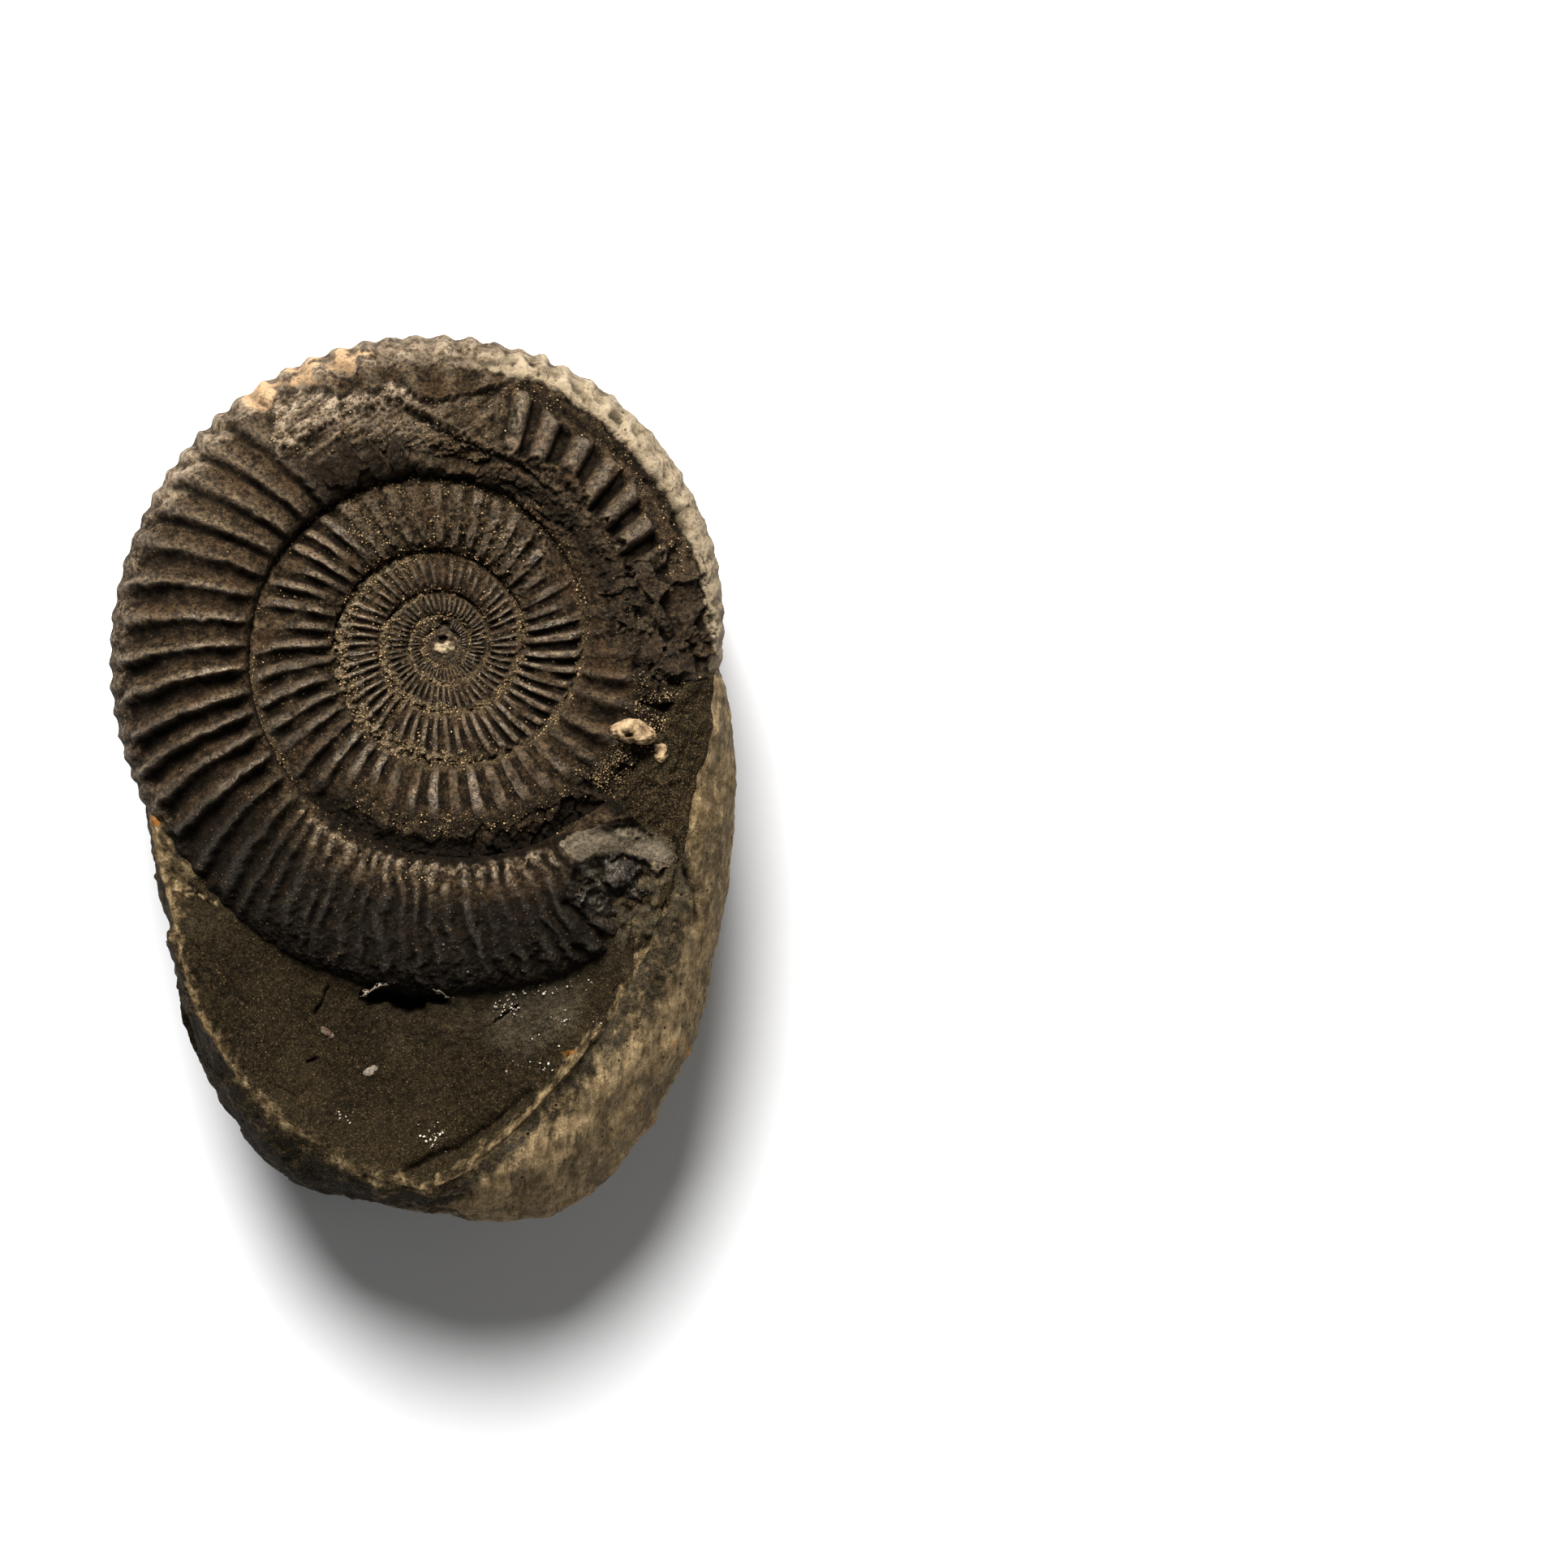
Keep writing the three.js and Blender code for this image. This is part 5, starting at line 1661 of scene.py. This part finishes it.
@dataclass
class Chips:
    """Small angular stones lying on the rock, and the torn edge of shell over its hole."""

    seed: int = 11
    edge_level: float = 35.0
    edge_columns: int = 180
    stone_cuts: int = 9
    finish: GrainFinish = GrainFinish("chip_finish", (0.52, 0.47, 0.39), (0.05, 0.026, 0.013), 0.7, 0.3)

    def stone(self, at: Triple, size: Triple, turn: float, draw: np.random.Generator) -> tuple[Array, Array]:
        """Cuts one angular stone out of a ball.

        Args:
            at: its middle.
            size: half its length, width and height.
            turn: its direction in degrees.
            draw: the source of chance.

        Returns:
            Its points and its triangles.
        """
        turns, rows = (12, 7) if size[0] > 0.3 else (6, 4)
        around = np.linspace(0, 2 * math.pi, turns, endpoint=False)
        slope = np.linspace(0.08, math.pi - 0.08, rows)
        ball = np.stack([np.outer(np.cos(around), np.sin(slope)), np.outer(np.sin(around), np.sin(slope)),
                         np.broadcast_to(np.cos(slope), (turns, rows))], axis=-1).reshape(-1, 3)
        cuts = draw.normal(size=(self.stone_cuts, 3))
        cuts /= np.linalg.norm(cuts, axis=1, keepdims=True)
        reach = np.min(draw.uniform(0.55, 0.85, self.stone_cuts) / np.maximum(ball @ cuts.T, 0.3), axis=1)
        c, s = math.cos(math.radians(turn)), math.sin(math.radians(turn))
        shaped = ball * np.minimum(reach, 1.15)[:, None] * size @ np.array([[c, s, 0], [-s, c, 0], [0, 0, 1]])
        quads = Sheet(shaped.reshape(turns, rows, 3)).faces(closed=True, flip=True)
        return shaped + np.array(at), quads

    def torn_rim(self, draw: np.random.Generator) -> tuple[Array, Array, Array]:
        """Shapes the thin wavy edge of shell that stands over the hole.

        Args:
            draw: the source of chance.

        Returns:
            Its points, its quads and how light each point is: a painted highlight along its top edge, painted
            shade lower down.
        """
        flakes = len(TORN_EDGE)
        steps = np.linspace(0, flakes - 1, self.edge_columns)
        x, y = (np.interp(steps, np.arange(flakes), axis) for axis in zip(*TORN_EDGE))
        spots = beside(x, y, np.full(len(steps), self.edge_level))
        wave, ripple = OTHER_NOISE.at(spots, 1.3), NOISE.at(spots, 0.5)
        ends = smooth(0, 1.5, steps) * smooth(flakes - 1, flakes - 2.5, steps)
        y = y + 0.5 * wave + 0.2 * ripple
        top = self.edge_level - 0.1 + (0.7 + 0.6 * wave + 0.3 * ripple) * ends
        offsets = ((0.25, -1.0), (0.16, -0.3), (0.05, 0.0), (-0.1, 0.0), (-0.22, -0.35), (-0.3, -1.4))
        rings = np.stack([beside(x, y + across * (1 + ripple), top + drop)
                          for across, drop in offsets], axis=1)
        rings += draw.normal(0, 0.02, rings.shape)
        # painted light: the top rows lighter, the lower rows darker
        lit = np.outer(0.7 + 0.8 * np.clip(ripple + wave, -0.5, 0.6), (0.1, 0.25, 0.6, 0.55, 0.15, 0.02))
        return rings.reshape(-1, 3), Sheet(rings).faces(flip=True), np.clip(lit, 0, 1).ravel()

    def dress(self, face: Sheet) -> bpy.types.Object:
        """Makes all the chips as one piece.

        Args:
            face: the rock's upper face, which they lie on.

        Returns:
            The piece.
        """
        draw = np.random.default_rng(self.seed)
        ground = face.points.reshape(-1, 3)
        listed = [(x, y, length, width, turn, light, 0.35 * width, None)
                  for x, y, length, width, turn, light in CHIPS]
        for middle, reach, count in SPARKLES:
            for x, y in draw.normal(middle, np.array(reach) * 0.5, (count, 2)):
                size = 0.07 + 0.20 * draw.random() ** 2
                # painted glints: the calcite specks are given a high lightness
                turn, light = draw.uniform(0, 180), draw.uniform(0.5, 1.3)
                listed.append((x, y, size, size * 0.7, turn, light, size, None))
        for x, y in np.repeat(TORN_EDGE, 4, axis=0):
            listed.append((x + draw.normal(0, 0.3), y + draw.normal(0, 0.10), draw.uniform(0.15, 0.35),
                           draw.uniform(0.06, 0.14), draw.uniform(-25, 25), 0.5 * draw.random() ** 2, 0.3,
                           self.edge_level))
        made = []
        for x, y, length, width, turn, light, rise, level in listed:
            if level is None:
                level = ground[np.argmin(np.hypot(ground[:, 0] - x, ground[:, 1] - y)), 2]
            seat, size = (x, y, level + rise * 0.4), (length, width, max(rise, 0.06))
            stone, quads = self.stone(seat, size, turn, draw)
            made.append((stone, quads, np.full(len(stone), min(light, 1.0))))
        made.append(self.torn_rim(draw))
        points, faces, shades = zip(*made)
        starts = np.cumsum([0, *(len(part) for part in points[:-1])])
        faces = np.concatenate([quads + start for quads, start in zip(faces, starts)])
        piece = make_mesh("stray_chips", np.concatenate(points), [faces], {"shade": np.concatenate(shades)},
                          smooth_faces=False)
        return place(piece, self.finish.material(), Slot.MUDSTONE, Node.ROCK)


@dataclass
class Heart:
    """The pale filling of the coil's very centre, with a small pit."""

    coil: Coil = COIL
    radius: float = 2.7
    height: float = 33.75
    columns: int = 96
    rows: int = 30
    finish: GrainFinish = GrainFinish("pale_heart_finish", (0.36, 0.28, 0.18), (0.022, 0.014, 0.008),
                                      0.85, 0.4)

    def dress(self) -> bpy.types.Object:
        """Makes the filling.

        Returns:
            The piece.
        """
        angle = np.linspace(0, TURN, self.columns, endpoint=False)[:, None]
        reach = np.linspace(0.002, 1, self.rows)
        shape = (self.columns, self.rows)
        sheet = Sheet(self.coil.polar(np.broadcast_to(angle, shape), reach * self.radius, self.height))
        points = sheet.points.reshape(-1, 3)
        wander = points[:, :2] + 0.25 * beside(NOISE.at(points, 0.6), OTHER_NOISE.at(points, 0.6))
        pale = Hollow((2.8, 16.45), (1.25, 0.8), 5, 1, 1.6).weight(wander)
        pit = Hollow((2.75, 17.5), (0.6, 0.45), 20, 1, 1.5).weight(wander)
        outer = np.broadcast_to(smooth(0.5, 1, reach), shape).ravel()
        points[:, 2] += 0.45 * pale + 0.3 * NOISE.rough(points, 0.9, 4) - 0.7 * pit - 0.9 * outer
        # painted shade: the pit is darkened
        shade = 0.75 * pale - 1.2 * pit + 0.3 * OTHER_NOISE.rough(points, 0.5, 3)
        piece = make_mesh("coil_heart", points, [sheet.faces(closed=True, flip=True)], {"shade": shade})
        return place(piece, self.finish.material(), Slot.SHELL, Node.SHELL)


@dataclass
class Crumb:
    """The pale lump of mudstone stuck on the shell's flank, and the fragment beside it."""

    middle: Triple = (26.3, 6.1, 39.9)
    fragment: Triple = (29.7, 3.4, 37.9)
    height: float = 1.75
    fragment_height: float = 1.1
    outline: tuple[Point, ...] = ((-182, 2.9), (-145, 1.95), (-90, 1.35), (-34, 2.5), (-17, 3.05), (18, 1.95),
                                  (55, 1.55), (98, 1.55), (140, 1.9), (178, 2.9))
    fragment_outline: tuple[Point, ...] = ((-180, 0.75), (-130, 1.15), (-60, 1.25), (0, 0.7), (60, 1.15),
                                           (125, 1.3), (180, 0.75))
    finish: GrainFinish = GrainFinish("pale_crumb_finish", (0.46, 0.335, 0.20), (0.10, 0.065, 0.034),
                                      0.8, 0.5)

    def lump(self, outline: tuple[Point, ...], middle: Triple, height: float,
             subdivisions: int) -> tuple[Array, Array, Array]:
        """Shapes a ball into a rough lump that stands on a narrower foot.

        Args:
            outline: its reach from its middle at each angle, as seen from above.
            middle: its middle.
            height: how far it rises over its middle.
            subdivisions: how finely the ball is divided.

        Returns:
            Its points, its triangles and how pale each point is, darker as painted shade in its hole, its
            pits and on its underside.
        """
        bpy.ops.mesh.primitive_ico_sphere_add(subdivisions=subdivisions, radius=1)
        ball = bpy.context.object
        p = np.empty(len(ball.data.vertices) * 3)
        ball.data.vertices.foreach_get("co", p)
        p = p.reshape(-1, 3)
        faces = np.empty(len(ball.data.polygons) * 3, np.int32)
        ball.data.polygons.foreach_get("vertices", faces)
        bpy.data.objects.remove(ball)
        reach = line(np.degrees(np.arctan2(p[:, 1], p[:, 0])), outline)
        foot = 1 - 0.3 * smooth(0.1, -0.5, p[:, 2])
        flat = np.clip(p[:, 2], -0.8, 0.75) * height
        shaped = beside(p[:, 0] * reach * foot, p[:, 1] * reach * foot, flat) + np.array(middle)
        knob = Hollow((25.3, 6.3), (0.5, 0.45), 0, 1, 1.5).weight(shaped[:, :2])
        hole = Hollow((25.75, 5.55), (0.55, 0.3), 10, 1, 1.5).weight(shaped[:, :2])
        pits = smooth(-0.3, -0.65, OTHER_NOISE.at(shaped, 0.7))
        crags = OTHER_NOISE.crags(shaped, 1.3, 4) - 0.6
        rough = 0.22 * NOISE.rough(shaped, 1.1, 5) + 0.25 * crags - 0.12 * pits
        points = shaped + p * rough[:, None]
        points[:, 2] += (0.45 * knob - 0.8 * hole) * (p[:, 2] > 0)
        # painted shade: darker in the hole, the pits and on the underside
        shade = 0.42 + 0.7 * NOISE.rough(points, 1.2, 4) - 0.5 * pits - 0.9 * hole
        return points, faces.reshape(-1, 3), np.clip(shade - 0.8 * smooth(0.2, -0.3, p[:, 2]), 0, 1)

    def dress(self) -> bpy.types.Object:
        """Makes both lumps as one piece.

        Returns:
            The piece.
        """
        lumps = [self.lump(self.outline, self.middle, self.height, 6),
                 self.lump(self.fragment_outline, self.fragment, self.fragment_height, 5)]
        (points, faces, shade), (more_points, more_faces, more_shade) = lumps
        piece = make_mesh("pale_crumb", np.concatenate([points, more_points]),
                          [faces, more_faces + len(points)], {"shade": np.concatenate([shade, more_shade])})
        return place(piece, self.finish.material(), Slot.CRUST, Node.CRUMB)


@dataclass(frozen=True)
class Studio:
    """Pale floor, a soft light high over the far end, a weak one at the right, the camera straight above."""

    camera_at: Triple = (44.8, -0.4, 1237.0)
    lens: float = 223.6
    lights: tuple[tuple[str, float, float, float, float], ...] = (
        ("key_light", 102.0, 49.0, 0.85, 63.0), ("bounce_light", -20.0, 38.0, 1.0, 4.0))
    light_distance: float = 1.5
    fill: float = 0.11
    floor_size: float = 6.0
    camera_reach: float = 20.0

    def build(self) -> None:
        """Makes the floor, light, world and camera."""
        half = self.floor_size / 2 / METRES
        corners = np.array([[-half, -half, 0], [half, -half, 0], [half, half, 0], [-half, half, 0]])
        floor = make_mesh("studio_floor", corners, [np.array([[0, 1, 2, 3]])], {})
        floor.data.materials.append(FloorFinish().material())

        for name, azimuth, elevation, size, power in self.lights:
            light = bpy.data.lights.new(name, "AREA")
            light.shape = "DISK"
            light.size = size
            light.energy = power
            lamp = bpy.data.objects.new(name, light)
            across, up = math.radians(azimuth), math.radians(elevation)
            way = Vector((math.cos(across) * math.cos(up), math.sin(across) * math.cos(up), math.sin(up)))
            lamp.location = way * self.light_distance
            lamp.rotation_euler = way.to_track_quat("Z", "Y").to_euler()
            bpy.context.scene.collection.objects.link(lamp)

        world = bpy.data.worlds.new("studio")
        world.use_nodes = True
        background = world.node_tree.nodes["Background"]
        background.inputs["Color"].default_value = (1, 1, 1, 1)
        background.inputs["Strength"].default_value = self.fill
        bpy.context.scene.world = world

        camera = bpy.data.cameras.new("camera")
        camera.lens = self.lens
        camera.clip_end = self.camera_reach
        eye = bpy.data.objects.new("camera", camera)
        eye.location = Vector(self.camera_at) * METRES
        bpy.context.scene.collection.objects.link(eye)
        bpy.context.scene.camera = eye
        bpy.context.scene.view_settings.view_transform = "Standard"
        bpy.context.scene.view_settings.look = "Medium High Contrast"


def main() -> None:
    """Builds the specimen and its studio."""
    logging.basicConfig(level=logging.INFO, format="%(message)s")
    Studio().build()
    shell = Shell().dress()
    face = Rock().dress()
    Chips().dress(face)
    Grains().dress(shell)
    Heart().dress()
    Crumb().dress()


if __name__ == "__main__":
    main()
